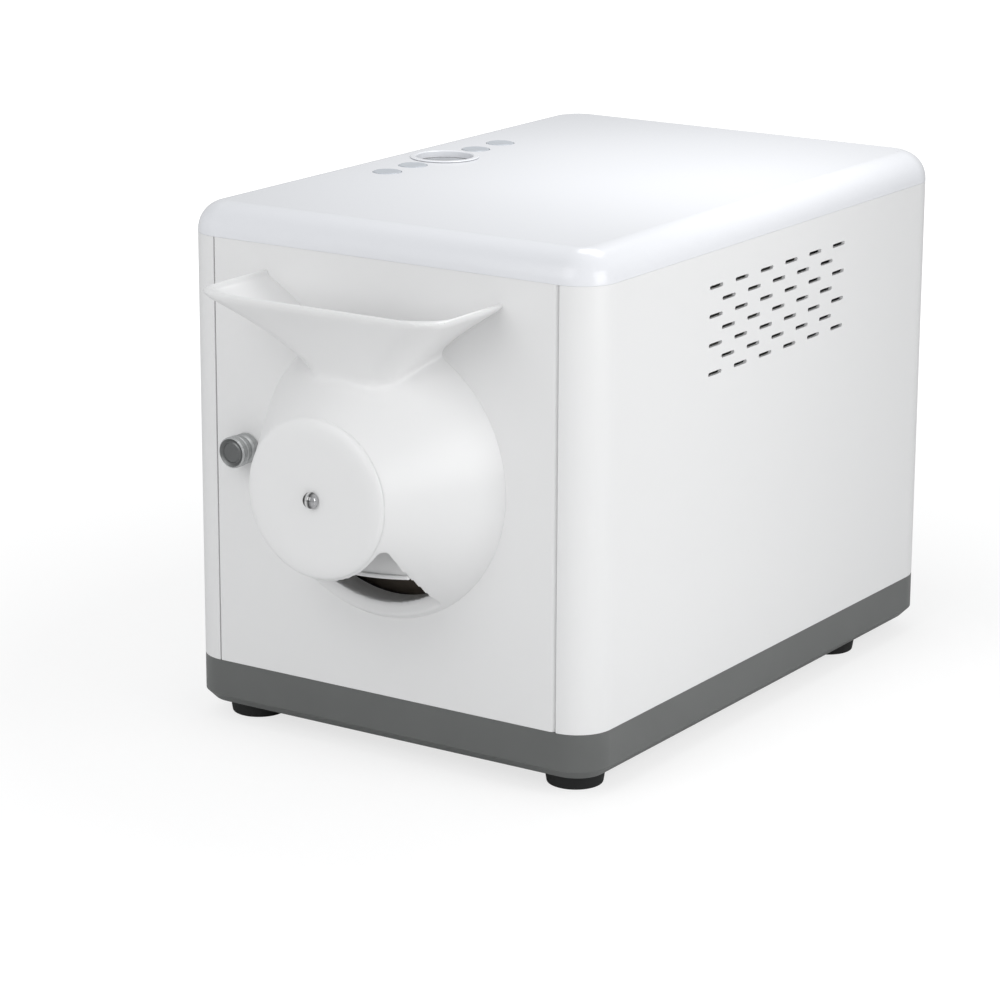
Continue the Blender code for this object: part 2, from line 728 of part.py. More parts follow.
def make_side_casing(name, side, look, root):
    bm = bmesh.new()
    add_loft(bm, [body_ring(0, CASING_LOW), body_ring(0, CASING_HIGH)])
    casing = new_object(name, bm, look, root)
    bm = bmesh.new()
    add_loft(bm, [body_ring(SKIN, CASING_LOW - OVER), body_ring(SKIN, CASING_HIGH + OVER)])
    cut(casing, name + "_hollow", bm)
    bm = bmesh.new()
    fold = sorted((side * (STRIP_X - OVER), side * (STRIP_X + SKIN)))
    add_box(bm, fold, (SKIN / 2, RETURN_DEPTH), (CASING_LOW, CASING_HIGH))
    fuse(casing, name + "_fold", bm)
    middle = BODY_D / 2
    bm = bmesh.new()
    front = sorted((side * STRIP_X, -side * (HALF_W + OVER)))
    add_box(bm, front, (-OVER, middle), (CASING_LOW - OVER, CASING_HIGH + OVER))
    cut(casing, name + "_door_side", bm)
    bm = bmesh.new()
    rear = sorted((side * REAR_SEAM_X, -side * (HALF_W + OVER)))
    add_box(bm, rear, (middle - OVER, BODY_D + OVER), (CASING_LOW - OVER, CASING_HIGH + OVER))
    cut(casing, name + "_rear_side", bm)
    bm = bmesh.new()
    reach = sorted((side * (HALF_W - SKIN - OVER), side * (HALF_W + OVER)))
    for y, z in vent_places():
        add_prism(bm, slot_outline(y, z, VENT_L, VENT_H), reach[0], reach[1], "X")
    for z in REAR_SCREW_ZS:
        add_screw_hole(bm, side * (REAR_SEAM_X + REAR_SCREW_INSET), z, BODY_D - SKIN - OVER,
                       BODY_D + OVER, "Y")
    cut(casing, name + "_slots", bm)
    return casing


def cover_rings(inset, low):
    """The cover's block: straight sides, then a quarter round up to its flat top."""
    top = BODY_TOP - inset
    radius = COVER_EDGE_R - inset
    rings = [body_ring(inset, low)]
    for i in range(CORNER_STEPS + 1):
        angle = math.pi / 2 * i / CORNER_STEPS
        rings.append(body_ring(inset + radius * (1 - math.cos(angle)),
                               top - radius + radius * math.sin(angle)))
    return rings


def make_top_cover(look, root):
    bm = bmesh.new()
    add_loft(bm, cover_rings(0, COVER_Z))
    cover = new_object("top_cover", bm, look, root)
    bm = bmesh.new()
    add_loft(bm, cover_rings(COVER_WALL, COVER_Z - OVER))
    cut(cover, "cover_hollow", bm)
    bm = bmesh.new()
    add_pin_boss(bm, COVER_WALL, COVER_Z, BODY_TOP)
    fuse(cover, "cover_pin_boss", bm)
    bm = bmesh.new()
    add_loft(bm, cover_rings(0, COVER_Z - OVER))
    trim(cover, "cover_outside", bm)
    bm = bmesh.new()
    add_disc(bm, PIN_R + GAP, COVER_Z - OVER, COVER_Z + PIN_IN_BODY + GAP, (HINGE_X, HINGE_Y), "Z",
             SMALL_STEPS)
    for y in BUTTON_YS:
        add_disc(bm, BUTTON_R + GAP, COVER_Z, BODY_TOP + OVER, (CONTROLS_X, y), "Z", MID_STEPS)
    add_disc(bm, DISPLAY_R + DISPLAY_SLEEVE_WALL + GAP, COVER_Z, BODY_TOP + OVER,
             (CONTROLS_X, DISPLAY_Y), "Z", MID_STEPS)
    cut(cover, "cover_holes", bm)
    return cover


def grille_slots():
    """Slots across the round fan outlet, each as long as the circle allows."""
    places = []
    reach = FAN_R - GRILLE_RIM
    rows = int(reach // GRILLE_PITCH)
    for row in range(-rows, rows + 1):
        height = row * GRILLE_PITCH
        length = 2 * math.sqrt(reach * reach - height * height)
        if length > 3 * GRILLE_SLOT_H:
            places.append((0, FAN_Z + height, length, GRILLE_SLOT_H))
    return places


def rear_slots():
    places = []
    for side in (-1, 1):
        for row in range(REAR_VENT_ROWS):
            z = REAR_VENT_LOW_Z + row * VENT_ROW_PITCH
            places.append((side * REAR_VENT_X, z, REAR_VENT_L, VENT_H))
    return places


def rear_screw_places():
    return [(side * (REAR_SEAM_X + REAR_SCREW_INSET), z) for z in REAR_SCREW_ZS for side in (-1, 1)]


def make_rear_panel(look, root):
    bm = bmesh.new()
    add_box(bm, (-REAR_HALF_W, REAR_HALF_W), (REAR_INNER_Y, REAR_FACE_Y), (CASING_LOW, CASING_HIGH))
    panel = new_object("rear_panel", bm, look, root)
    bm = bmesh.new()
    for u, v, length, height in grille_slots() + rear_slots():
        add_prism(bm, slot_outline(u, v, length, height), REAR_INNER_Y - OVER, REAR_FACE_Y + OVER, "Y")
    for x, z in rear_screw_places():
        add_screw_hole(bm, x, z, REAR_INNER_Y - OVER, REAR_FACE_Y + OVER, "Y")
    for x, z, width, height in ((INLET_X, INLET_Z, INLET_W, INLET_H),
                                (SWITCH_X, SWITCH_Z, SWITCH_W, SWITCH_H)):
        add_box(bm, (x - width / 2 - GAP, x + width / 2 + GAP), (REAR_INNER_Y - OVER, REAR_FACE_Y + OVER),
                (z - height / 2 - GAP, z + height / 2 + GAP))
    cut(panel, "rear_cutouts", bm)
    return panel


def make_rear_screw(name, x, z, look, root):
    """A pan-head screw: its head sits on the casing and its shank goes through the panel."""
    head = BODY_D + GAP
    profile = [(0, head + SCREW_HEAD_H), (SCREW_HEAD_R, head + SCREW_HEAD_H),
               (SCREW_HEAD_R, head), (SCREW_R, head), (SCREW_R, head - SCREW_L),
               (0, head - SCREW_L)]
    bm = bmesh.new()
    add_turned(bm, profile, (x, z), "Y", SMALL_STEPS)
    return new_object(name, bm, look, root)


# Chassis walls

def heater_points(first, last):
    """A hairpin that lies along the chamber wall: back to front, round the bend, and back."""
    back = REAR_BULKHEAD_Y + BULKHEAD_T + HEATER_TAIL
    places = [(first, back), (first, HEATER_FRONT_Y)]
    for i in range(1, HEATER_BEND_STEPS + 1):
        share = i / (HEATER_BEND_STEPS + 1)
        bulge = math.sin(math.pi * share) * HEATER_R * 2
        places.append((first + (last - first) * share, HEATER_FRONT_Y - bulge))
    places += [(last, HEATER_FRONT_Y), (last, back)]
    points = []
    for degrees, y in places:
        angle = math.radians(degrees)
        points.append(Vector((HEATER_RING_R * math.cos(angle), y,
                              AXIS_Z + HEATER_RING_R * math.sin(angle))))
    return points


def around_axis(radius, angle):
    return radius * math.cos(angle), AXIS_Z + radius * math.sin(angle)


def bulkhead_wall(name, y, foot_side, look, root):
    bm = bmesh.new()
    low = FLOOR_Z
    outline = [(y, low), (y, BULKHEAD_TOP_Z), (y + BULKHEAD_T, BULKHEAD_TOP_Z),
               (y + BULKHEAD_T, low + CHASSIS_T)]
    foot = y + BULKHEAD_T + BULKHEAD_FOOT * foot_side
    outline += [(foot, low + CHASSIS_T), (foot, low)]
    add_prism(bm, outline, -BULKHEAD_HALF_W, BULKHEAD_HALF_W, "X")
    return new_object(name, bm, look, root)


def make_front_bulkhead(look, root):
    wall = bulkhead_wall("front_bulkhead", FRONT_BULKHEAD_Y, 1, look, root)
    low = FRONT_BULKHEAD_Y - OVER
    high = FRONT_BULKHEAD_Y + BULKHEAD_T + OVER
    bm = bmesh.new()
    add_disc(bm, MOUTH_HOLE_R, low, high, (0, AXIS_Z), "Y", DRUM_STEPS)
    half_w = LATCH_BAR_W / 2 + SLOT_ROOM
    half_l = LATCH_BAR_L / 2 + SLOT_ROOM
    add_box(bm, (KNOB_X - half_w, KNOB_X + half_w), (low, high), (KNOB_Z - half_l, KNOB_Z + half_l))
    cut(wall, "front_bulkhead_holes", bm)
    return wall


def make_rear_bulkhead(look, root):
    wall = bulkhead_wall("rear_bulkhead", REAR_BULKHEAD_Y, 1, look, root)
    low = REAR_BULKHEAD_Y - OVER
    high = REAR_BULKHEAD_Y + BULKHEAD_T + OVER
    bm = bmesh.new()
    add_disc(bm, BEARING_R + GAP, low, high, (0, AXIS_Z), "Y", MID_STEPS)
    add_disc(bm, EXHAUST_R, low, high, (0, EXHAUST_Z), "Y", MID_STEPS)
    for pair in HEATER_ANGLES:
        for degrees in pair:
            add_disc(bm, HEATER_R + HEATER_HOLE_ROOM, low, high,
                     around_axis(HEATER_RING_R, math.radians(degrees)), "Y", SMALL_STEPS)
    add_disc(bm, PROBE_R + GAP, low, high, around_axis(HEATER_RING_R, PROBE_ANGLE), "Y", SMALL_STEPS)
    cut(wall, "rear_bulkhead_holes", bm)
    return wall


def make_front_bushing(look, root):
    bm = bmesh.new()
    inner = DRUM_COLLAR_R + GAP
    outer = MOUTH_HOLE_R - GAP
    back = FRONT_BULKHEAD_Y + BULKHEAD_T + GAP
    profile = [(inner, FRONT_BULKHEAD_Y), (outer, FRONT_BULKHEAD_Y), (outer, back),
               (BUSH_FLANGE_R, back), (BUSH_FLANGE_R, back + BUSH_FLANGE_T),
               (inner, back + BUSH_FLANGE_T)]
    add_turned(bm, profile, (0, AXIS_Z), "Y", DRUM_STEPS)
    return new_object("front_bushing", bm, look, root)


def make_tube(name, inner, outer, low, high, look, root):
    bm = bmesh.new()
    profile = [(inner, low), (outer, low), (outer, high), (inner, high)]
    add_turned(bm, profile, (0, AXIS_Z), "Y", DRUM_STEPS)
    return new_object(name, bm, look, root)


def make_chamber(looks, root):
    low = FRONT_BULKHEAD_Y + BULKHEAD_T + GAP
    high = REAR_BULKHEAD_Y - GAP
    outer = CHAMBER_R + CHAMBER_WALL
    make_tube("chamber_shell", CHAMBER_R, outer, low, high, looks["dark_steel"], root)
    make_tube("insulation_jacket", outer + GAP, outer + GAP + INSULATION_T, low, high,
              looks["fibre"], root)


# Drum, its shaft and its drive

def make_drum_shell(look, root):
    bm = bmesh.new()
    inner_collar = DRUM_COLLAR_R - DRUM_COLLAR_WALL
    inner = DRUM_R - DRUM_WALL
    profile = [(inner_collar, DRUM_COLLAR_Y), (DRUM_COLLAR_R, DRUM_COLLAR_Y),
               (DRUM_COLLAR_R, DRUM_FRONT_Y), (DRUM_R, DRUM_FRONT_Y), (DRUM_R, DRUM_BACK_Y),
               (inner, DRUM_BACK_Y), (inner, DRUM_FRONT_Y + DRUM_WALL),
               (inner_collar, DRUM_FRONT_Y + DRUM_WALL)]
    add_turned(bm, profile, (0, AXIS_Z), "Y", DRUM_STEPS)
    return new_object("drum_shell", bm, look, root)


def make_drum_vanes(look, root):
    """Helical vanes held by a ring at the drum's back, set into the drum as one piece."""
    bm = bmesh.new()
    outer = DRUM_R - DRUM_WALL - GAP
    inner = outer - VANE_H
    start_y = DRUM_FRONT_Y + DRUM_WALL + GAP
    end_y = DRUM_BACK_Y - DRUM_PLATE_T - 2 * GAP
    for vane in range(VANE_COUNT):
        rings = []
        for i in range(VANE_STEPS + 1):
            share = i / VANE_STEPS
            angle = math.tau * vane / VANE_COUNT + VANE_TURN * share
            y = start_y + (end_y - start_y) * share
            lean = Vector((-math.sin(angle), 0, math.cos(angle))) * (VANE_T / 2)
            ring = []
            for radius, side in ((inner, -1), (inner, 1), (outer, 1), (outer, -1)):
                x, z = around_axis(math.sqrt(radius * radius - VANE_T * VANE_T / 4), angle)
                ring.append(Vector((x, y, z)) + lean * side)
            rings.append(ring)
        add_loft(bm, rings)
    vanes = new_object("drum_vanes", bm, look, root)
    bm = bmesh.new()
    profile = [(inner, end_y - VANE_T), (outer, end_y - VANE_T), (outer, end_y), (inner, end_y)]
    add_turned(bm, profile, (0, AXIS_Z), "Y", DRUM_STEPS)
    fuse(vanes, "vane_ring", bm)
    return vanes


def make_drum_rear_plate(look, root):
    bm = bmesh.new()
    radius = DRUM_R - DRUM_WALL - GAP
    add_disc(bm, radius, DRUM_BACK_Y - DRUM_PLATE_T, DRUM_BACK_Y, (0, AXIS_Z), "Y", DRUM_STEPS)
    plate = new_object("drum_rear_plate", bm, look, root)
    bm = bmesh.new()
    for i in range(DRUM_PLATE_HOLES):
        angle = math.tau * i / DRUM_PLATE_HOLES
        add_disc(bm, DRUM_PLATE_HOLE_R, DRUM_BACK_Y - DRUM_PLATE_T - OVER, DRUM_BACK_Y + OVER,
                 around_axis(DRUM_PLATE_HOLE_RING_R, angle), "Y", SMALL_STEPS)
    cut(plate, "drum_plate_holes", bm)
    return plate


def make_drum_shaft(look, root):
    bm = bmesh.new()
    start = DRUM_BACK_Y + GAP
    profile = [(0, start), (SHAFT_HUB_R, start), (SHAFT_HUB_R, start + SHAFT_HUB_T),
               (SHAFT_R, start + SHAFT_HUB_T), (SHAFT_R, SHAFT_END_Y), (0, SHAFT_END_Y)]
    add_turned(bm, profile, (0, AXIS_Z), "Y", MID_STEPS)
    return new_object("drum_shaft", bm, look, root)


def make_shaft_bearing(name, plate_y, plate_t, look, root):
    """A flanged bush in a sheet wall: its flange lies behind the wall."""
    bm = bmesh.new()
    flange = plate_y + plate_t + GAP
    inner = SHAFT_R + GAP
    profile = [(inner, plate_y - OVER), (BEARING_R, plate_y - OVER), (BEARING_R, flange),
               (BEARING_FLANGE_R, flange), (BEARING_FLANGE_R, flange + BEARING_FLANGE_T),
               (BEARING_R, flange + BEARING_FLANGE_T), (BEARING_R, plate_y - OVER + BEARING_L),
               (inner, plate_y - OVER + BEARING_L)]
    add_turned(bm, profile, (0, AXIS_Z), "Y", MID_STEPS)
    return new_object(name, bm, look, root)


def involute(angle):
    return math.tan(angle) - angle


def gear_outline(teeth, centre, turn):
    """An involute spur gear's outline, with a tooth's middle at the given turn."""
    pitch_r = GEAR_MODULE * teeth / 2
    base_r = pitch_r * math.cos(PRESSURE_ANGLE)
    tip_r = pitch_r + GEAR_MODULE * ADDENDUM_SHARE
    root_r = pitch_r - GEAR_MODULE * DEDENDUM_SHARE
    half = math.pi / (2 * teeth) - BACKLASH / (2 * pitch_r) + involute(PRESSURE_ANGLE)
    start_r = max(base_r, root_r)
    flank = [(root_r, half - involute(math.acos(min(1, base_r / start_r))))]
    for i in range(FLANK_STEPS):
        radius = start_r + (tip_r - start_r) * i / (FLANK_STEPS - 1)
        flank.append((radius, half - involute(math.acos(min(1, base_r / radius)))))
    if start_r == root_r:
        flank = flank[1:]
    points = []
    for tooth in range(teeth):
        middle = turn + math.tau * tooth / teeth
        for radius, angle in flank:
            points.append((radius, middle - angle))
        for radius, angle in reversed(flank):
            points.append((radius, middle + angle))
    return [(centre[0] + radius * math.cos(angle), centre[1] + radius * math.sin(angle))
            for radius, angle in points]


def make_drum_gear(look, root):
    bm = bmesh.new()
    outline = gear_outline(GEAR_TEETH, (0, AXIS_Z), PINION_ANGLE)
    add_prism(bm, outline, GEAR_Y, GEAR_Y + GEAR_W, "Y")
    gear = new_object("drum_gear", bm, look, root)
    bm = bmesh.new()
    add_disc(bm, GEAR_HUB_R, GEAR_Y + GEAR_W / 2, GEAR_Y + GEAR_W + GEAR_HUB_L, (0, AXIS_Z), "Y",
             MID_STEPS)
    fuse(gear, "gear_hub", bm)
    bm = bmesh.new()
    add_disc(bm, SHAFT_R + GAP, GEAR_Y - OVER, GEAR_Y + GEAR_W + GEAR_HUB_L + OVER, (0, AXIS_Z), "Y",
             MID_STEPS)
    cut(gear, "gear_bore", bm)
    return gear


def make_motor_pinion(look, root):
    bm = bmesh.new()
    turn = PINION_ANGLE + math.pi + math.pi / PINION_TEETH
    centre = (PINION_X, PINION_Z)
    start = GEAR_Y + GEAR_W / 2 - PINION_W / 2
    add_prism(bm, gear_outline(PINION_TEETH, centre, turn), start, start + PINION_W, "Y")
    pinion = new_object("motor_pinion", bm, look, root)
    bm = bmesh.new()
    add_disc(bm, PINION_SHAFT_R, start + PINION_W / 2, MOTOR_Y + PINION_SHAFT_IN, centre, "Y",
             SMALL_STEPS)
    fuse(pinion, "pinion_shaft", bm)
    return pinion


def make_motor_bracket(look, root):
    bm = bmesh.new()
    y = MOTOR_PLATE_Y
    left = PINION_X - MOTOR_PLATE_SIDE
    top = AXIS_Z + MOTOR_PLATE_ABOVE
    outline = [(y, FLOOR_Z), (y, top), (y + MOTOR_PLATE_T, top),
               (y + MOTOR_PLATE_T, FLOOR_Z + MOTOR_PLATE_T),
               (y + MOTOR_PLATE_T + BULKHEAD_FOOT, FLOOR_Z + MOTOR_PLATE_T),
               (y + MOTOR_PLATE_T + BULKHEAD_FOOT, FLOOR_Z)]
    add_prism(bm, outline, left, MOTOR_PLATE_SIDE, "X")
    bracket = new_object("motor_bracket", bm, look, root)
    bm = bmesh.new()
    add_disc(bm, BEARING_R + GAP, y - OVER, y + MOTOR_PLATE_T + OVER, (0, AXIS_Z), "Y", MID_STEPS)
    add_disc(bm, PINION_SHAFT_R + SEAM, y - OVER, y + MOTOR_PLATE_T + OVER, (PINION_X, PINION_Z), "Y",
             SMALL_STEPS)
    cut(bracket, "bracket_holes", bm)
    return bracket


def make_gear_motor(look, root):
    bm = bmesh.new()
    bore = PINION_SHAFT_R + GAP
    end = MOTOR_Y + GEARBOX_L
    profile = [(0, MOTOR_Y + PINION_SHAFT_IN + GAP), (bore, MOTOR_Y + PINION_SHAFT_IN + GAP),
               (bore, MOTOR_Y), (GEARBOX_R, MOTOR_Y), (GEARBOX_R, end), (MOTOR_R, end),
               (MOTOR_R, end + MOTOR_L), (0, end + MOTOR_L)]
    add_turned(bm, profile, (PINION_X, PINION_Z), "Y", MID_STEPS)
    return new_object("gear_motor", bm, look, root)


# Heat and exhaust

def make_heater(name, pair, look, root):
    curve = bpy.data.curves.new(name, "CURVE")
    curve.dimensions = "3D"
    curve.bevel_depth = HEATER_R
    curve.bevel_resolution = 1
    curve.use_fill_caps = True
    points = heater_points(pair[0], pair[1])
    spline = curve.splines.new("POLY")
    spline.points.add(len(points) - 1)
    for point, place in zip(spline.points, points):
        point.co = (*place, 1)
    curve.materials.append(look)
    made = bpy.data.objects.new(name, curve)
    bpy.context.scene.collection.objects.link(made)
    made.parent = root
    return made


def make_temperature_probe(look, root):
    bm = bmesh.new()
    seat = REAR_BULKHEAD_Y + BULKHEAD_T + GAP
    profile = [(0, REAR_BULKHEAD_Y - PROBE_IN), (PROBE_R, REAR_BULKHEAD_Y - PROBE_IN),
               (PROBE_R, seat), (PROBE_HEX_R, seat), (PROBE_HEX_R, seat + PROBE_HEX_T),
               (PROBE_R, seat + PROBE_HEX_T), (PROBE_R, seat + PROBE_HEX_T + PROBE_TAIL),
               (0, seat + PROBE_HEX_T + PROBE_TAIL)]
    add_turned(bm, profile, around_axis(HEATER_RING_R, PROBE_ANGLE), "Y", PROBE_STEPS)
    return new_object("temperature_probe", bm, look, root)


def make_thermal_cutout(look, root):
    bm = bmesh.new()
    seat = REAR_BULKHEAD_Y + BULKHEAD_T + GAP
    add_box(bm, (CUTOUT_X - CUTOUT_EAR, CUTOUT_X + CUTOUT_EAR), (seat, seat + CUTOUT_EAR_T),
            (CUTOUT_Z - SCREW_HEAD_R, CUTOUT_Z + SCREW_HEAD_R))
    cutout = new_object("thermal_cutout", bm, look, root)
    bm = bmesh.new()
    add_disc(bm, CUTOUT_R, seat, seat + CUTOUT_T, (CUTOUT_X, CUTOUT_Z), "Y", SMALL_STEPS)
    fuse(cutout, "cutout_can", bm)
    return cutout


def duct_rings(grow, run_on):
    """Circles along the exhaust duct: straight past the gear, then widening up to the fan."""
    places = [(DUCT_Y - run_on, EXHAUST_Z, EXHAUST_R),
              (DUCT_Y + DUCT_STRAIGHT_L, EXHAUST_Z, EXHAUST_R),
              (DUCT_Y + DUCT_L, FAN_Z, FAN_R)]
    if run_on:
        places.append((DUCT_Y + DUCT_L + run_on, FAN_Z, FAN_R))
    rings = []
    for y, z, radius in places:
        circle = arc(0, z, radius + grow, 0, math.tau, MID_STEPS)[:-1]
        rings.append([Vector((u, y, v)) for u, v in circle])
    return rings


def make_exhaust_duct(look, root):
    bm = bmesh.new()
    add_loft(bm, duct_rings(DUCT_WALL, 0))
    duct = new_object("exhaust_duct", bm, look, root)
    bm = bmesh.new()
    add_loft(bm, duct_rings(0, OVER))
    cut(duct, "duct_bore", bm)
    return duct


def make_fan_housing(look, root):
    bm = bmesh.new()
    end = REAR_INNER_Y - GAP
    profile = [(FAN_R, FAN_Y), (FAN_OUT_R, FAN_Y), (FAN_OUT_R, end), (FAN_R, end)]
    add_turned(bm, profile, (0, FAN_Z), "Y", MID_STEPS)
    housing = new_object("fan_housing", bm, look, root)
    inner = FAN_MOTOR_R + GAP
    outer = inner + FAN_RING_WALL
    low = fan_motor_y()
    high = low + FAN_MOTOR_L / 2
    for i in range(FAN_SPOKES):
        angle = math.pi / 2 + math.tau * i / FAN_SPOKES
        along = Vector((math.cos(angle), math.sin(angle)))
        side = Vector((-along.y, along.x)) * (FAN_SPOKE_W / 2)
        near = along * (inner + FAN_RING_WALL / 2)
        far = along * (FAN_R + FAN_WALL / 2)
        centre = Vector((0, FAN_Z))
        outline = [centre + near - side, centre + far - side, centre + far + side,
                   centre + near + side]
        bm = bmesh.new()
        add_prism(bm, outline, low + GAP, high - GAP, "Y")
        fuse(housing, "fan_spoke_" + str(i), bm)
    bm = bmesh.new()
    ring = [(inner, low), (outer, low), (outer, high), (inner, high)]
    add_turned(bm, ring, (0, FAN_Z), "Y", MID_STEPS)
    fuse(housing, "fan_motor_ring", bm)
    return housing


def rotor_y():
    return FAN_Y + FAN_ROTOR_IN


def fan_motor_y():
    return rotor_y() + FAN_HUB_L + GAP


def make_fan_rotor(look, root):
    bm = bmesh.new()
    start = rotor_y()
    bore = FAN_SHAFT_R + GAP
    profile = [(0, start), (FAN_HUB_R, start), (FAN_HUB_R, start + FAN_HUB_L),
               (bore, start + FAN_HUB_L), (bore, start + FAN_HUB_L / 2), (0, start + FAN_HUB_L / 2)]
    add_turned(bm, profile, (0, FAN_Z), "Y", MID_STEPS)
    rotor = new_object("fan_rotor", bm, look, root)
    bm = bmesh.new()
    middle = Vector((0, start + FAN_HUB_L / 2, FAN_Z))
    near = FAN_HUB_R - OVER
    far = FAN_R - FAN_TIP_ROOM
    for i in range(FAN_BLADES):
        turn = Matrix.Rotation(math.tau * i / FAN_BLADES, 4, "Y")
        tilt = Matrix.Rotation(FAN_BLADE_TILT, 4, "X")
        rings = []
        for x in (near, far):
            ring = []
            for y, z in ((-1, -1), (1, -1), (1, 1), (-1, 1)):
                flat = Vector((0, y * FAN_BLADE_T / 2, z * FAN_BLADE_W / 2 * x / far))
                ring.append(middle + turn @ (Vector((x, 0, 0)) + tilt @ flat))
            rings.append(ring)
        add_loft(bm, rings)
    fuse(rotor, "fan_blades", bm)
    return rotor


def make_fan_motor(look, root):
    bm = bmesh.new()
    start = fan_motor_y()
    profile = [(0, start - FAN_HUB_L / 2 + GAP), (FAN_SHAFT_R, start - FAN_HUB_L / 2 + GAP),
               (FAN_SHAFT_R, start), (FAN_MOTOR_R, start), (FAN_MOTOR_R, start + FAN_MOTOR_L),
               (0, start + FAN_MOTOR_L)]
    add_turned(bm, profile, (0, FAN_Z), "Y", MID_STEPS)
    return new_object("fan_motor", bm, look, root)


# Electrical pieces

def make_power_board(look, root):
    bm = bmesh.new()
    low = FLOOR_Z + PCB_RISE
    high = low + PCB_T
    add_box(bm, PCB_X, PCB_Y, (low, high))
    board = new_object("power_board", bm, look, root)
    bm = bmesh.new()
    for x0, y0, x1, y1, tall in PCB_PARTS_SHARES:
        add_box(bm, (PCB_X[0] + PCB_W * x0, PCB_X[0] + PCB_W * x1),
                (PCB_Y[0] + PCB_D * y0, PCB_Y[0] + PCB_D * y1), (low + PCB_T / 2, high + PCB_TALL * tall))
    fuse(board, "board_parts", bm)
    bm = bmesh.new()
    for x in (PCB_X[0], PCB_X[1] - PCB_FOOT_W):
        for y in (PCB_Y[0], PCB_Y[1] - PCB_FOOT_W):
            add_box(bm, (x, x + PCB_FOOT_W), (y, y + PCB_FOOT_W), (FLOOR_Z, low + PCB_T / 2))
    fuse(board, "board_feet", bm)
    return board


def centred(middle, size):
    return middle - size / 2, middle + size / 2


def make_power_inlet(look, root):
    bm = bmesh.new()
    face = REAR_FACE_Y + GAP + INLET_FLANGE_T
    add_box(bm, centred(INLET_X, INLET_W), (face - INLET_DEPTH, face), centred(INLET_Z, INLET_H))
    inlet = new_object("power_inlet", bm, look, root)
    bm = bmesh.new()
    add_box(bm, centred(INLET_X, INLET_W + 2 * INLET_FLANGE), (face - INLET_FLANGE_T, face),
            centred(INLET_Z, INLET_H + 2 * INLET_FLANGE))
    fuse(inlet, "inlet_flange", bm)
    bm = bmesh.new()
    floor = face - INLET_DEPTH + INLET_WALL
    add_box(bm, centred(INLET_X, INLET_W - 2 * INLET_WALL), (floor, face + OVER),
            centred(INLET_Z, INLET_H - 2 * INLET_WALL))
    cut(inlet, "inlet_socket", bm)
    bm = bmesh.new()
    for i in (-1, 0, 1):
        rise = INLET_PIN_RISE if i == 0 else -INLET_PIN_RISE
        add_box(bm, centred(INLET_X + i * INLET_PIN_PITCH, INLET_PIN_W),
                (floor - INLET_WALL / 2, floor + INLET_PIN_L), centred(INLET_Z + rise, INLET_PIN_H))
    fuse(inlet, "inlet_pins", bm)
    return inlet


def make_switch_frame(look, root):
    bm = bmesh.new()
    face = KEY_FACE_Y
    add_box(bm, centred(SWITCH_X, SWITCH_W), (face - SWITCH_DEPTH, face), centred(SWITCH_Z, SWITCH_H))
    frame = new_object("switch_frame", bm, look, root)
    bm = bmesh.new()
    add_box(bm, centred(SWITCH_X, SWITCH_W + 2 * SWITCH_FLANGE), (face - SWITCH_FLANGE_T, face),
            centred(SWITCH_Z, SWITCH_H + 2 * SWITCH_FLANGE))
    fuse(frame, "switch_flange", bm)
    bm = bmesh.new()
    add_box(bm, centred(SWITCH_X, SWITCH_W - 2 * SWITCH_WALL),
            (face - SWITCH_DEPTH + SWITCH_WALL, face + OVER),
            centred(SWITCH_Z, SWITCH_H - 2 * SWITCH_WALL))
    cut(frame, "switch_hollow", bm)
    return frame


def make_switch_key(look, place):
    """A rocker with a shallow V face, at rest with its lower half pressed in."""
    half_h = SWITCH_H / 2 - SWITCH_WALL - KEY_ROOM
    half_w = SWITCH_W / 2 - SWITCH_WALL - GAP
    front = KEY_PIVOT_IN
    rise = half_h * math.tan(KEY_TILT)
    outline = [(front, 0), (front + rise, half_h), (front - KEY_T, half_h), (-PIN_R, PIN_R),
               (-PIN_R, -PIN_R), (front - KEY_T, -half_h), (front + rise, -half_h)]
    bm = bmesh.new()
    add_prism(bm, outline, -half_w, half_w, "X")
    key = new_object("switch_key", bm, look, None)
    key.parent = place
    key.rotation_euler = (-KEY_TILT, 0, 0)
    return key


# Controls

def make_button(name, y, look, place):
    bm = bmesh.new()
    top = BODY_TOP + BUTTON_PROUD
    shoulder = COVER_INSIDE_Z - GAP
    low = shoulder - BUTTON_FLANGE_T
    stem = BOARD_Z + TACT_H + BUTTON_TRAVEL + GAP
    profile = [(0, top), (BUTTON_R - BUTTON_PROUD, top), (BUTTON_R, top - BUTTON_PROUD),
               (BUTTON_R, shoulder), (BUTTON_R + BUTTON_FLANGE, shoulder),
               (BUTTON_R + BUTTON_FLANGE, low), (BUTTON_STEM_R, low), (BUTTON_STEM_R, stem),
               (0, stem)]
    add_turned(bm, profile, (CONTROLS_X, y), "Z", MID_STEPS)
    return new_object(name, bm, look, place)


def make_display_bezel(look, root):
    bm = bmesh.new()
    seat = BODY_TOP + GAP
    top = seat + DISPLAY_RING_T
    outer = DISPLAY_R + DISPLAY_SLEEVE_WALL
    low = BODY_TOP - DISPLAY_SLEEVE_L
    ledge = BODY_TOP - DISPLAY_DEPTH - LENS_T - GAP
    profile = [(DISPLAY_R, top), (DISPLAY_RING_R, top), (DISPLAY_RING_R, seat), (outer, seat),
               (outer, low), (DISPLAY_R - DISPLAY_LEDGE, low), (DISPLAY_R - DISPLAY_LEDGE, ledge),
               (DISPLAY_R, ledge)]
    add_turned(bm, profile, (CONTROLS_X, DISPLAY_Y), "Z", BIG_STEPS)
    return new_object("display_bezel", bm, look, root)


def make_display_lens(look, root):
    bm = bmesh.new()
    low = BODY_TOP - DISPLAY_DEPTH - LENS_T
    add_disc(bm, DISPLAY_R - GAP, low, low + LENS_T, (CONTROLS_X, DISPLAY_Y), "Z", BIG_STEPS)
    return new_object("display_lens", bm, look, root)


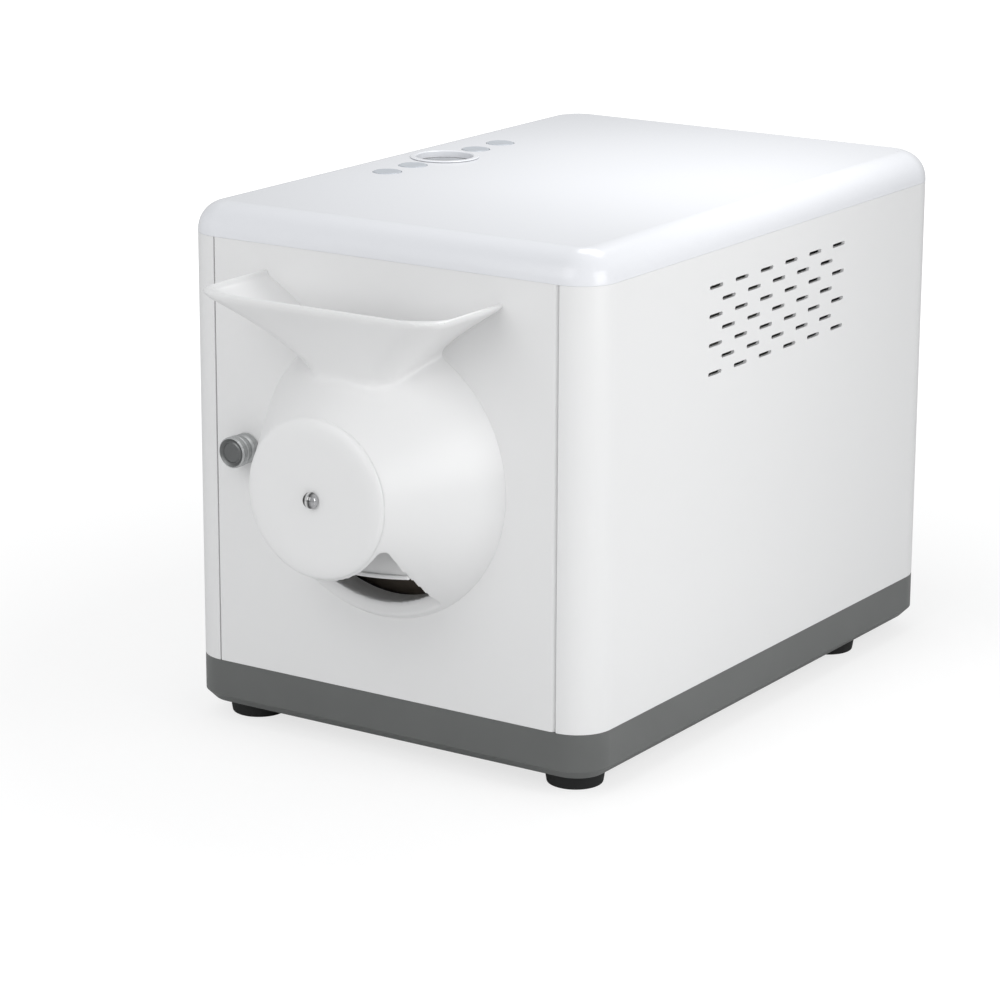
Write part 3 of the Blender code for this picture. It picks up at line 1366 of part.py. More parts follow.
def make_control_board(look, root):
    bm = bmesh.new()
    front = BUTTON_YS[0] - BOARD_END
    back = BUTTON_YS[-1] + BOARD_END
    low = BOARD_Z - BOARD_T
    add_box(bm, centred(CONTROLS_X, 2 * BOARD_HALF_W), (front, back), (low, BOARD_Z))
    board = new_object("control_board", bm, look, root)
    bm = bmesh.new()
    for y in BUTTON_YS:
        add_box(bm, centred(CONTROLS_X, TACT_W), centred(y, TACT_W), (low + BOARD_T / 2, BOARD_Z + TACT_H))
    lcd_top = BODY_TOP - DISPLAY_SLEEVE_L - GAP
    add_box(bm, centred(CONTROLS_X, LCD_W), centred(DISPLAY_Y, LCD_W), (low + BOARD_T / 2, lcd_top))
    fuse(board, "board_switches", bm)
    bm = bmesh.new()
    post_x = BOARD_HALF_W - BOARD_POST_W / 2
    for side in (-1, 1):
        for y in (front + BOARD_POST_W / 2, back - BOARD_POST_W / 2):
            add_box(bm, centred(CONTROLS_X + side * post_x, BOARD_POST_W), centred(y, BOARD_POST_W),
                    (low, COVER_INSIDE_Z - GAP))
    fuse(board, "board_posts", bm)
    return board


# Door with its casting and latch

def make_front_door(look, place):
    """A pan-shaped door, solid along its hinge edge, whose front corner is round about the pins."""
    bm = bmesh.new()
    left = -DOOR_SEAM_X
    outline = [(left, 0), (HINGE_X, 0)]
    outline += arc(HINGE_X, HINGE_Y, HINGE_R, -math.pi / 2, 0, CORNER_STEPS)[1:]
    outline += [(DOOR_SEAM_X, DOOR_T), (left, DOOR_T)]
    add_prism(bm, outline, CASING_LOW, CASING_HIGH)
    door = new_object("front_door", bm, look, place)
    bm = bmesh.new()
    add_box(bm, (left + DOOR_RIM, DOOR_SEAM_X - HINGE_COLUMN_W), (DOOR_SKIN, DOOR_T + OVER),
            (CASING_LOW + DOOR_RIM, CASING_HIGH - DOOR_RIM))
    cut(door, "door_pocket", bm)
    bm = bmesh.new()
    add_disc(bm, DOOR_MOUTH_R + DOOR_COLLAR_WALL, DOOR_SKIN / 2, DOOR_T, (0, AXIS_Z), "Y", BIG_STEPS)
    add_disc(bm, SPINDLE_BOSS_R, DOOR_SKIN / 2, DOOR_T, (KNOB_X, KNOB_Z), "Y", SMALL_STEPS)
    fuse(door, "door_collar", bm)
    bm = bmesh.new()
    add_disc(bm, DOOR_MOUTH_R, -OVER, DOOR_T + OVER, (0, AXIS_Z), "Y", BIG_STEPS)
    add_disc(bm, SPINDLE_R + GAP, -OVER, DOOR_T + OVER, (KNOB_X, KNOB_Z), "Y", SMALL_STEPS)
    for x, z in cast_peg_places():
        add_disc(bm, PEG_R + GAP, -OVER, PEG_L + GAP, (x, z), "Y", SMALL_STEPS)
    depth = PIN_IN_DOOR + GAP
    add_disc(bm, PIN_R + GAP, CASING_LOW - OVER, CASING_LOW + depth, (HINGE_X, HINGE_Y), "Z",
             SMALL_STEPS)
    add_disc(bm, PIN_R + GAP, CASING_HIGH - depth, CASING_HIGH + OVER, (HINGE_X, HINGE_Y), "Z",
             SMALL_STEPS)
    cut(door, "door_holes", bm)
    return door


def cast_peg_places():
    """The casting's pegs stand in the middle of the door's collar round the mouth."""
    ring = DOOR_MOUTH_R + DOOR_COLLAR_WALL / 2
    return [around_axis(ring, math.radians(angle)) for angle in CAST_PEG_ANGLES]


def make_hinge_pin(name, low, high, look, root):
    bm = bmesh.new()
    add_disc(bm, PIN_R, low, high, (HINGE_X, HINGE_Y), "Z", SMALL_STEPS)
    return new_object(name, bm, look, root)


def make_door_gasket(look, place):
    bm = bmesh.new()
    inner = DOOR_MOUTH_R + (DOOR_COLLAR_WALL - GASKET_WALL) / 2
    low = DOOR_T + GAP
    high = low + GASKET_T - GAP
    profile = [(inner, low), (inner + GASKET_WALL, low), (inner + GASKET_WALL, high), (inner, high)]
    add_turned(bm, profile, (0, AXIS_Z), "Y", BIG_STEPS)
    return new_object("door_gasket", bm, look, place)


def mouth_ring(share, z, inset):
    """The hopper's plan at a height: a rectangle against the door, flaring out towards the lip."""
    flare = max(share, 0) ** FLARE_POWER
    half = NECK_HALF_W + (MOUTH_HALF_W - NECK_HALF_W) * flare - inset
    depth = NECK_DEPTH + (MOUTH_DEPTH - NECK_DEPTH) * flare - inset
    corner = NECK_CORNER_R + (MOUTH_CORNER_R - NECK_CORNER_R) * flare - inset
    back = OVER if inset else -GAP
    outline = [(half, back), (-half, back)]
    outline += arc(-half + corner, -depth + corner, corner, math.pi, 1.5 * math.pi, CORNER_STEPS)
    outline += arc(half - corner, -depth + corner, corner, 1.5 * math.pi, math.tau, CORNER_STEPS)
    return [Vector((x, y, z)) for x, y in outline]


def mouth_rings(inset):
    rings = [mouth_ring(0, NECK_Z - NECK_DROP - inset, inset)]
    for i in range(FLARE_SECTIONS + 1):
        share = i / FLARE_SECTIONS
        rings.append(mouth_ring(share, NECK_Z + (LIP_Z - NECK_Z) * share, inset))
    if inset:
        rings.append(mouth_ring(1, LIP_Z + OVER, inset))
    return rings


def cone_profile(shrink, back, front):
    """A cone from the door to its small end, as radius and place along the axis."""
    return [(0, -back), (CONE_R - CONE_SLOPE * back - shrink, -back),
            (CONE_R - CONE_SLOPE * front - shrink, -front), (0, -front)]


def make_hopper_casting(look, place):
    bm = bmesh.new()
    add_turned(bm, cone_profile(0, GAP, CAST_FRONT_Y), (0, AXIS_Z), "Y", BIG_STEPS)
    casting = new_object("hopper_casting", bm, look, place)
    bm = bmesh.new()
    add_loft(bm, mouth_rings(0))
    fuse(casting, "casting_hopper", bm)
    bm = bmesh.new()
    add_disc(bm, CAP_BOSS_R, -(CAST_FRONT_Y + CAP_SHADOW - GAP), -(CAST_FRONT_Y - CAST_WALL / 2),
             (0, AXIS_Z), "Y", MID_STEPS)
    fuse(casting, "cap_boss", bm)
    bm = bmesh.new()
    add_turned(bm, cone_profile(WALL_ALONG_R, FLANGE_T, CAST_FRONT_Y - CAST_WALL), (0, AXIS_Z), "Y",
               BIG_STEPS)
    cut(casting, "casting_cone_hollow", bm)
    bm = bmesh.new()
    add_loft(bm, mouth_rings(CAST_WALL))
    cut(casting, "casting_hopper_hollow", bm)
    bm = bmesh.new()
    add_disc(bm, DOOR_MOUTH_R, -(FLANGE_T + OVER), OVER, (0, AXIS_Z), "Y", BIG_STEPS)
    cut(casting, "casting_flange_hole", bm)
    for side in (-1, 1):
        bm = bmesh.new()
        wall = sorted((side * (SPOUT_HALF_W - OVER), side * (SPOUT_HALF_W + CAST_WALL)))
        add_prism(bm, cheek_outline(), wall[0], wall[1], "X")
        fuse(casting, "spout_cheek_" + ("left" if side < 0 else "right"), bm)
    bm = bmesh.new()
    add_box(bm, (-SPOUT_HALF_W, SPOUT_HALF_W), (-(CAST_FRONT_Y - CAST_WALL), OVER),
            (AXIS_Z - CONE_R - OVER, SPOUT_TOP_Z))
    cut(casting, "spout_notch", bm)
    bm = bmesh.new()
    add_disc(bm, STUD_R + GAP, -(CAP_STAND_OFF + OVER), -(CAST_FRONT_Y - CAST_WALL - OVER),
             (0, AXIS_Z), "Y", SMALL_STEPS)
    cut(casting, "casting_stud_hole", bm)
    bm = bmesh.new()
    for x, z in cast_peg_places():
        add_disc(bm, PEG_R, -FLANGE_T / 2, PEG_L, (x, z), "Y", SMALL_STEPS)
    fuse(casting, "casting_pegs", bm)
    return casting


def cheek_outline():
    """A spout cheek in side view: its lower edge follows the cone's wall up to the notch's top."""
    deep = SPOUT_HALF_W + CAST_WALL
    wall_r = CONE_R - WALL_ALONG_R / 3
    start = FLANGE_T / 2
    end = (wall_r - math.hypot(deep, AXIS_Z - SPOUT_TOP_Z)) / CONE_SLOPE
    points = []
    for i in range(CORNER_STEPS + 1):
        y = start + (end - start) * i / CORNER_STEPS
        radius = wall_r - CONE_SLOPE * y
        points.append((-y, AXIS_Z - math.sqrt(radius * radius - deep * deep)))
    points.append((-start, SPOUT_TOP_Z))
    return points


def make_front_cap(look, place):
    bm = bmesh.new()
    back = CAP_STAND_OFF - CAP_T
    edge = CAP_T / 3
    bore = STUD_R + GAP
    back_r = CAP_R + CONE_SLOPE * CAP_T
    profile = [(bore, -CAP_STAND_OFF), (CAP_R - edge, -CAP_STAND_OFF),
               (CAP_R, -(CAP_STAND_OFF - edge)), (back_r, -back), (bore, -back)]
    add_turned(bm, profile, (0, AXIS_Z), "Y", BIG_STEPS)
    return new_object("front_cap", bm, look, place)


def make_cap_nut(look, place):
    """A domed nut whose stud goes through the cap and the casting's front wall."""
    bm = bmesh.new()
    seat = CAP_STAND_OFF + GAP
    rim = seat + (NUT_H - GAP) / 3
    dome = CAP_STAND_OFF + NUT_H - rim
    profile = [(0, -(CAST_FRONT_Y - CAST_WALL)), (STUD_R, -(CAST_FRONT_Y - CAST_WALL)),
               (STUD_R, -seat), (NUT_R, -seat)]
    for i in range(CORNER_STEPS):
        angle = math.pi / 2 * i / CORNER_STEPS
        profile.append((NUT_R * math.cos(angle), -(rim + dome * math.sin(angle))))
    profile.append((0, -(rim + dome)))
    add_turned(bm, profile, (0, AXIS_Z), "Y", MID_STEPS)
    return new_object("cap_nut", bm, look, place)


def make_spout_baffle(look, place):
    """A plate across the spout whose lower edge bows down and is hemmed forward."""
    half = SPOUT_HALF_W - GAP
    outline = [(half, BAFFLE_TOP_Z), (-half, BAFFLE_TOP_Z)]
    for i in range(CORNER_STEPS + 1):
        x = -half + 2 * half * i / CORNER_STEPS
        outline.append((x, BAFFLE_LOW_Z - BAFFLE_BOW * (1 - (x / half) ** 2)))
    bm = bmesh.new()
    add_prism(bm, outline, -(BAFFLE_Y + BAFFLE_T), -BAFFLE_Y, "Y")
    baffle = new_object("spout_baffle", bm, look, place)
    lower = []
    upper = []
    for i in range(CORNER_STEPS + 1):
        x = -half + 2 * half * i / CORNER_STEPS
        z = BAFFLE_LOW_Z - BAFFLE_BOW * (1 - (x / half) ** 2)
        lower.append((x, z))
        upper.append((x, z + BAFFLE_HEM))
    bm = bmesh.new()
    add_prism(bm, lower + list(reversed(upper)), -(BAFFLE_Y + BAFFLE_HEM), -(BAFFLE_Y + BAFFLE_T / 2), "Y")
    fuse(baffle, "baffle_hem", bm)
    return baffle


def make_feed_chute(look, place):
    """A trough from the hopper's neck back into the drum's mouth, hung on an ear in the neck."""
    half = NECK_HALF_W - CAST_WALL - GAP
    front = -(NECK_DEPTH - CAST_WALL - GAP)
    back = CHUTE_REACH
    profile = [(front, CHUTE_FRONT_Z), (back, CHUTE_BACK_Z), (back, CHUTE_BACK_Z + CHUTE_WALL_H),
               (front, CHUTE_FRONT_Z + CHUTE_WALL_H)]
    bm = bmesh.new()
    add_prism(bm, profile, -half, half, "X")
    chute = new_object("feed_chute", bm, look, place)
    hollow = [(front - OVER, CHUTE_FRONT_Z + CHUTE_T), (front, CHUTE_FRONT_Z + CHUTE_T),
              (back, CHUTE_BACK_Z + CHUTE_T), (back + OVER, CHUTE_BACK_Z + CHUTE_T),
              (back + OVER, CHUTE_FRONT_Z + CHUTE_WALL_H + OVER),
              (front - OVER, CHUTE_FRONT_Z + CHUTE_WALL_H + OVER)]
    bm = bmesh.new()
    add_prism(bm, hollow, -(half - CHUTE_T), half - CHUTE_T, "X")
    cut(chute, "chute_hollow", bm)
    ear = half - NECK_CORNER_R
    bm = bmesh.new()
    add_box(bm, (-ear, ear), (front, front + CHUTE_T), (CHUTE_FRONT_Z + CHUTE_T / 2, NECK_Z + CHUTE_EAR_H))
    fuse(chute, "chute_ear", bm)
    return chute


def make_latch_knob(look, place):
    bm = bmesh.new()
    face = -(KNOB_H + GAP)
    neck = face + KNOB_HEAD_H
    collar = -(KNOB_COLLAR_H + GAP)
    end = LATCH_Y + LATCH_BAR_T
    profile = [(0, face + KNOB_DISH), (KNOB_DISH_R - KNOB_DISH, face + KNOB_DISH), (KNOB_DISH_R, face),
               (KNOB_R - KNOB_DISH, face), (KNOB_R, face + KNOB_DISH), (KNOB_R, neck),
               (KNOB_NECK_R, neck + KNOB_DISH), (KNOB_NECK_R, collar), (KNOB_COLLAR_R, collar),
               (KNOB_COLLAR_R, -GAP), (SPINDLE_R, -GAP), (SPINDLE_R, LATCH_Y - GAP),
               (SPINDLE_END_R, LATCH_Y - GAP), (SPINDLE_END_R, end), (0, end)]
    add_turned(bm, profile, (KNOB_X, KNOB_Z), "Y", MID_STEPS)
    return new_object("latch_knob", bm, look, place)


def make_latch_bar(look, place):
    bm = bmesh.new()
    add_box(bm, centred(KNOB_X, LATCH_BAR_W), (LATCH_Y, LATCH_Y + LATCH_BAR_T),
            centred(KNOB_Z, LATCH_BAR_L))
    bar = new_object("latch_bar", bm, look, place)
    bm = bmesh.new()
    add_disc(bm, SPINDLE_END_R + GAP, LATCH_Y - OVER, LATCH_Y + LATCH_BAR_T + OVER, (KNOB_X, KNOB_Z),
             "Y", SMALL_STEPS)
    cut(bar, "bar_hole", bm)
    return bar


def build_body(looks, root):
    make_base_tray(looks["grey_base"], root)
    names = ("foot_front_left", "foot_front_right", "foot_rear_left", "foot_rear_right")
    for name, place in zip(names, foot_places()):
        make_foot(name, place[0], place[1], looks["black_rubber"], root)
    make_chassis_plate(looks["steel"], root)
    make_side_casing("left_side_casing", -1, looks["white_paint"], root)
    make_side_casing("right_side_casing", 1, looks["white_paint"], root)
    make_top_cover(looks["white_top"], root)
    make_rear_panel(looks["white_paint"], root)
    for name, place in zip(REAR_SCREW_NAMES, rear_screw_places()):
        make_rear_screw(name, place[0], place[1], looks["steel"], root)
    make_front_bulkhead(looks["steel"], root)
    make_rear_bulkhead(looks["steel"], root)


def build_roaster_works(looks, root):
    make_front_bushing(looks["brass"], root)
    make_chamber(looks, root)
    drum = pivot("drum_axis", (0, DRUM_FRONT_Y, AXIS_Z), root)
    make_drum_shell(looks["dark_steel"], drum)
    make_drum_vanes(looks["steel"], drum)
    make_drum_rear_plate(looks["steel"], drum)
    make_drum_shaft(looks["steel"], drum)
    make_drum_gear(looks["gear_plastic"], drum)
    make_shaft_bearing("shaft_bearing_front", REAR_BULKHEAD_Y, BULKHEAD_T, looks["brass"], root)
    make_shaft_bearing("shaft_bearing_rear", MOTOR_PLATE_Y, MOTOR_PLATE_T, looks["brass"], root)
    pinion = pivot("pinion_axis", (PINION_X, GEAR_Y, PINION_Z), root)
    make_motor_pinion(looks["brass"], pinion)
    make_motor_bracket(looks["steel"], root)
    make_gear_motor(looks["motor_grey"], root)
    make_heater("heater_left", HEATER_ANGLES[0], looks["heater_glass"], root)
    make_heater("heater_right", HEATER_ANGLES[1], looks["heater_glass"], root)
    make_temperature_probe(looks["steel"], root)
    make_thermal_cutout(looks["black_plastic"], root)
    make_exhaust_duct(looks["steel"], root)
    make_fan_housing(looks["black_plastic"], root)
    fan = pivot("fan_axis", (0, FAN_Y, FAN_Z), root)
    make_fan_rotor(looks["black_plastic"], fan)
    make_fan_motor(looks["motor_grey"], root)


def build_electrics(looks, root):
    make_power_board(looks["board_green"], root)
    make_power_inlet(looks["black_plastic"], root)
    make_switch_frame(looks["black_plastic"], root)
    rocker = pivot("switch_axis", (SWITCH_X, KEY_FACE_Y - KEY_PIVOT_IN, SWITCH_Z), root)
    make_switch_key(looks["black_plastic"], rocker)
    for name, y in zip(BUTTON_NAMES, BUTTON_YS):
        place = pivot(name + "_axis", (CONTROLS_X, y, BODY_TOP), root)
        make_button(name, y, looks["button_grey"], place)
    make_display_bezel(looks["white_top"], root)
    make_display_lens(looks["dark_glass"], root)
    make_control_board(looks["board_green"], root)


def build_door(looks, root):
    door = pivot("door_axis", (HINGE_X, HINGE_Y, AXIS_Z), root)
    make_front_door(looks["white_paint"], door)
    make_hinge_pin("hinge_pin_lower", BASE_TOP - PIN_IN_BODY, CASING_LOW + PIN_IN_DOOR,
                   looks["steel"], root)
    make_hinge_pin("hinge_pin_upper", CASING_HIGH - PIN_IN_DOOR, COVER_Z + PIN_IN_BODY,
                   looks["steel"], root)
    make_door_gasket(looks["silicone"], door)
    make_hopper_casting(looks["white_cast"], door)
    make_front_cap(looks["white_cast"], door)
    make_cap_nut(looks["chrome"], door)
    make_spout_baffle(looks["white_cast"], door)
    make_feed_chute(looks["steel"], door)
    knob = pivot("latch_axis", (KNOB_X, 0, KNOB_Z), root)
    make_latch_knob(looks["knob_metal"], knob)
    make_latch_bar(looks["steel"], knob)


def main():
    clear_scene()
    looks = make_materials()
    root = bpy.data.objects.new("roaster", None)
    bpy.context.scene.collection.objects.link(root)
    root.location = (0, FACE_Y, 0)
    build_body(looks, root)
    build_roaster_works(looks, root)
    build_electrics(looks, root)
    build_door(looks, root)


main()
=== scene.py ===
# %% [markdown]
# # A home coffee bean roaster, dressed for its picture
#
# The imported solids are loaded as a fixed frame: they give every size and place. This lesson then
# makes the visible skins of the roaster again with finer edges, and gives each piece its finish.
# Lengths are in metres, +Z is up, and the door faces -Y.

# %% Load the frame
import math

import bmesh
import bpy
from mathutils import Matrix, Vector


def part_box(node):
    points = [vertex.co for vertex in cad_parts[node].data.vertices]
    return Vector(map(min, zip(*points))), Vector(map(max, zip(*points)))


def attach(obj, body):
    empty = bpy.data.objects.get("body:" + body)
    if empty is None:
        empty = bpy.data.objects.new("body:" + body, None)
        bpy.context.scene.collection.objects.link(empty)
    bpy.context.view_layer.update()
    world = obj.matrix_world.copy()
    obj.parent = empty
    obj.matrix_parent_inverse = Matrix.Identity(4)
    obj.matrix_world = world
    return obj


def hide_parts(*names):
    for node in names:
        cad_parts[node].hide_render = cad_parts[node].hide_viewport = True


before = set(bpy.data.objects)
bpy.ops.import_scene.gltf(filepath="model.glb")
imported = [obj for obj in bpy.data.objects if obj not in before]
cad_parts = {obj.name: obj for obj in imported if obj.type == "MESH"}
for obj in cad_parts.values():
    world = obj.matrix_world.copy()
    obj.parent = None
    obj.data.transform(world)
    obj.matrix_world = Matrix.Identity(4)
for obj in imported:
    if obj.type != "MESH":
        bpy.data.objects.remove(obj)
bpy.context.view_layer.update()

# %% [markdown]
# ## The camera
#
# A product photo is taken with a long lens, so the box shows little perspective. The camera's
# place was solved from the seams and corners of the box, and its three directions are written
# here as the columns of its matrix. A long lens far away keeps the same small convergence.

# %% Camera
CAMERA_PLACE = Vector((1.04657, -1.63026, 0.64342))
CAMERA_RIGHT = Vector((0.83380, 0.55205, 0.00412))
CAMERA_UP = Vector((-0.15060, 0.22025, 0.96375))
LENS_MM = 128.32
SENSOR_MM = 36.0

camera_data = bpy.data.cameras.new("camera")
camera_data.lens = LENS_MM
camera_data.sensor_width = SENSOR_MM
camera_data.clip_end = 50
camera = bpy.data.objects.new("camera", camera_data)
bpy.context.scene.collection.objects.link(camera)
backwards = CAMERA_RIGHT.cross(CAMERA_UP)
turn = Matrix((CAMERA_RIGHT, CAMERA_UP, backwards)).transposed()
camera.matrix_world = Matrix.Translation(CAMERA_PLACE) @ turn.to_4x4()
bpy.context.scene.camera = camera
print("camera looks along", -backwards)

# %% [markdown]
# ## Floor and light
#
# The object is white on white, so its form shows only through soft shading. A pale world gives
# an even light from all round, and three soft lamps stand at the right, above and in front. The
# camera sees their light but not the lamps, and it sees the world behind the object as pure white.
# The floor is pale, and it adds a little white of its own for the camera alone, more of it further
# out, so that it fades into the background and still keeps the shadow under the base.

# %% Floor and light
WHITE = (1, 1, 1, 1)
WORLD_TINT = (0.98, 0.99, 1.0, 1)
WORLD_LEVEL = 0.62
FLOOR_HALF = 8.0
FLOOR_GREY = 0.78
FLOOR_GLOW = 1.2
GLOW_NEAR = 0.60
GLOW_NEAR_AT = 0.30
GLOW_FULL_AT = 1.00


def plain_world():
    world = bpy.data.worlds.new("soft_room")
    bpy.context.scene.world = world
    world.use_nodes = True
    nodes = world.node_tree.nodes
    links = world.node_tree.links
    nodes.clear()
    out = nodes.new("ShaderNodeOutputWorld")
    mix = nodes.new("ShaderNodeMixShader")
    light = nodes.new("ShaderNodeBackground")
    light.inputs["Color"].default_value = WORLD_TINT
    light.inputs["Strength"].default_value = WORLD_LEVEL
    white = nodes.new("ShaderNodeBackground")
    white.inputs["Color"].default_value = WHITE
    white.inputs["Strength"].default_value = 1.0
    path = nodes.new("ShaderNodeLightPath")
    links.new(path.outputs["Is Camera Ray"], mix.inputs["Fac"])
    links.new(light.outputs[0], mix.inputs[1])
    links.new(white.outputs[0], mix.inputs[2])
    links.new(mix.outputs[0], out.inputs["Surface"])


def soft_lamp(name, place, aim, size, power):
    """A flat lamp that the camera doesn't see, turned to a point."""
    data = bpy.data.lights.new(name, "AREA")
    data.shape = "RECTANGLE"
    data.size, data.size_y = size
    data.energy = power
    lamp = bpy.data.objects.new(name, data)
    bpy.context.scene.collection.objects.link(lamp)
    lamp.location = place
    lamp.rotation_euler = (Vector(aim) - Vector(place)).to_track_quat("-Z", "Y").to_euler()
    lamp.visible_camera = False


def pale_floor():
    """Matt floor; its own white grows from GLOW_NEAR to 1 with the distance from the middle."""
    bpy.ops.object.select_all(action="DESELECT")
    bpy.ops.mesh.primitive_plane_add(size=2 * FLOOR_HALF, location=(0, 0, 0))
    floor = bpy.context.active_object
    floor.name = "floor"
    paint = bpy.data.materials.new("floor_white")
    paint.use_nodes = True
    nodes = paint.node_tree.nodes
    links = paint.node_tree.links
    nodes.clear()
    out = nodes.new("ShaderNodeOutputMaterial")
    mix = nodes.new("ShaderNodeMixShader")
    matt = nodes.new("ShaderNodeBsdfDiffuse")
    matt.inputs["Color"].default_value = (FLOOR_GREY, FLOOR_GREY, FLOOR_GREY, 1)
    glow = nodes.new("ShaderNodeEmission")
    glow.inputs["Strength"].default_value = FLOOR_GLOW
    place = nodes.new("ShaderNodeTexCoord")
    reach = nodes.new("ShaderNodeVectorMath")
    reach.operation = "LENGTH"
    spread = nodes.new("ShaderNodeMapRange")
    spread.inputs["From Min"].default_value = GLOW_NEAR_AT
    spread.inputs["From Max"].default_value = GLOW_FULL_AT
    spread.inputs["To Min"].default_value = GLOW_NEAR
    path = nodes.new("ShaderNodeLightPath")
    share = nodes.new("ShaderNodeMath")
    share.operation = "MULTIPLY"
    links.new(place.outputs["Object"], reach.inputs[0])
    links.new(reach.outputs["Value"], spread.inputs["Value"])
    links.new(path.outputs["Is Camera Ray"], share.inputs[0])
    links.new(spread.outputs["Result"], share.inputs[1])
    links.new(share.outputs[0], mix.inputs["Fac"])
    links.new(matt.outputs[0], mix.inputs[1])
    links.new(glow.outputs[0], mix.inputs[2])
    links.new(mix.outputs[0], out.inputs["Surface"])
    floor.data.materials.append(paint)


plain_world()
pale_floor()
# Each lamp's place, the point that it is turned to, its two sides and its watts
LAMPS = {
    "side_lamp": ((0.62, -0.14, 0.34), (0.13, -0.02, 0.15), (0.35, 0.35), 1.3),
    "top_lamp": ((0.08, 0.07, 0.54), (0.06, 0.06, 0.28), (0.2, 0.2), 0.58),
    "front_lamp": ((-0.1, -1.0, 0.64), (0, -0.1, 0.2), (0.7, 0.7), 2.9),
}
for lamp_name, (place, aim, size, power) in LAMPS.items():
    soft_lamp(lamp_name, place, aim, size, power)
view = bpy.context.scene.view_settings
view.view_transform = "Standard"

# %% [markdown]
# ## A maker's small tools
#
# Each piece is modelled as by hand: a primitive is added, edges or faces are picked by their
# place, and an operator works on them. Operators act on all that is selected, so everything is
# deselected first. These few helpers keep the steps short.

# %% Tools
SMOOTH_ANGLE = math.radians(32)
MERGE = 0.000002
OVER = 0.001
GAP = 0.0003
UPRIGHT_SHARE = 0.9
CORNER_REACH_SHARE = 0.49
SEED_SIZE = 0.0002
# Faces round a turned form, more of them for a larger one
SMALL_STEPS = 24
PIN_STEPS = 40
HOLE_STEPS = 64
WIDE_STEPS = 96
RING_STEPS = 128
CONE_STEPS = 160


def only(piece):
    bpy.ops.object.select_all(action="DESELECT")
    piece.select_set(True)
    bpy.context.view_layer.objects.active = piece


def block(name, low, high):
    """A cube between two corners, its place in its mesh."""
    bpy.ops.object.select_all(action="DESELECT")
    middle = (Vector(low) + Vector(high)) / 2
    size = Vector(high) - Vector(low)
    bpy.ops.mesh.primitive_cube_add(size=1, location=middle, scale=size)
    piece = bpy.context.active_object
    piece.name = name
    bpy.ops.object.transform_apply(location=True, rotation=True, scale=True)
    return piece


def rod(name, radius, low, high, steps, far_radius=None):
    """A cylinder or cone between two points."""
    bpy.ops.object.select_all(action="DESELECT")
    low = Vector(low)
    high = Vector(high)
    along = high - low
    turned_to = along.to_track_quat("Z", "Y").to_euler()
    far = radius if far_radius is None else far_radius
    bpy.ops.mesh.primitive_cone_add(vertices=steps, radius1=radius, radius2=far, depth=along.length,
                                    location=(low + high) / 2, rotation=turned_to)
    piece = bpy.context.active_object
    piece.name = name
    bpy.ops.object.transform_apply(location=True, rotation=True, scale=True)
    return piece


def pick(piece, kind, test):
    """Opens edit mode with only the edges or faces selected that pass the test."""
    only(piece)
    bpy.ops.object.mode_set(mode="EDIT")
    bpy.ops.mesh.select_mode(type=kind)
    bpy.ops.mesh.select_all(action="DESELECT")
    mesh = bmesh.from_edit_mesh(piece.data)
    for item in (mesh.edges if kind == "EDGE" else mesh.faces):
        if test(item):
            item.select_set(True)
    mesh.select_flush_mode()
    bmesh.update_edit_mesh(piece.data)


def done():
    bpy.ops.object.mode_set(mode="OBJECT")


def upright(edge):
    ends = edge.verts[0].co - edge.verts[1].co
    return abs(ends.z) > UPRIGHT_SHARE * ends.length


def lowest(edge):
    return min(vert.co.z for vert in edge.verts)


def highest(edge):
    return max(vert.co.z for vert in edge.verts)


def width_of(edge):
    """How far an edge runs along X."""
    return abs(edge.verts[0].co.x - edge.verts[1].co.x)


def round_picked(radius, steps):
    """Rounds the picked edges and leaves edit mode."""
    bpy.ops.mesh.bevel(offset=radius, offset_type="OFFSET", segments=steps, affect="EDGES", profile=0.5)
    done()


def apply(piece, kind, **settings):
    only(piece)
    modifier = piece.modifiers.new(kind.lower(), kind)
    for key, value in settings.items():
        setattr(modifier, key, value)
    bpy.ops.object.modifier_apply(modifier=modifier.name)


def carve(piece, tool, operation="DIFFERENCE"):
    """Takes a tool away from a piece, adds it or keeps what both share, and throws the tool away."""
    apply(piece, "BOOLEAN", operation=operation, object=tool, solver="EXACT")
    bpy.data.objects.remove(tool, do_unlink=True)


def joined(name, pieces):
    bpy.ops.object.select_all(action="DESELECT")
    for piece in pieces:
        piece.select_set(True)
    bpy.context.view_layer.objects.active = pieces[0]
    bpy.ops.object.join()
    piece = bpy.context.active_object
    piece.name = name
    return piece


def copied(piece, name, move):
    """A copy with its own mesh, moved in that mesh, so that its object stays at the origin."""
    made = piece.copy()
    made.data = piece.data.copy()
    made.name = name
    bpy.context.scene.collection.objects.link(made)
    made.data.transform(Matrix.Translation(Vector(move)))
    return made


def soft_corners(points, radii, steps):
    """A drawn profile whose corners are rounded, each by its own radius."""
    out = [Vector(points[0])]
    for before, corner, after, radius in zip(points, points[1:], points[2:], radii[1:-1]):
        corner = Vector(corner)
        if radius <= 0:
            out.append(corner)
            continue
        into = Vector(before) - corner
        away = Vector(after) - corner
        shorter = min(into.length, away.length)
        into.normalize()
        away.normalize()
        half = into.angle(away) / 2
        reach = min(radius / math.tan(half), CORNER_REACH_SHARE * shorter)
        for i in range(steps + 1):
            share = i / steps
            first = corner + into * reach * (1 - share)
            last = corner + away * reach * share
            out.append(first.lerp(last, share))
    out.append(Vector(points[-1]))
    return out


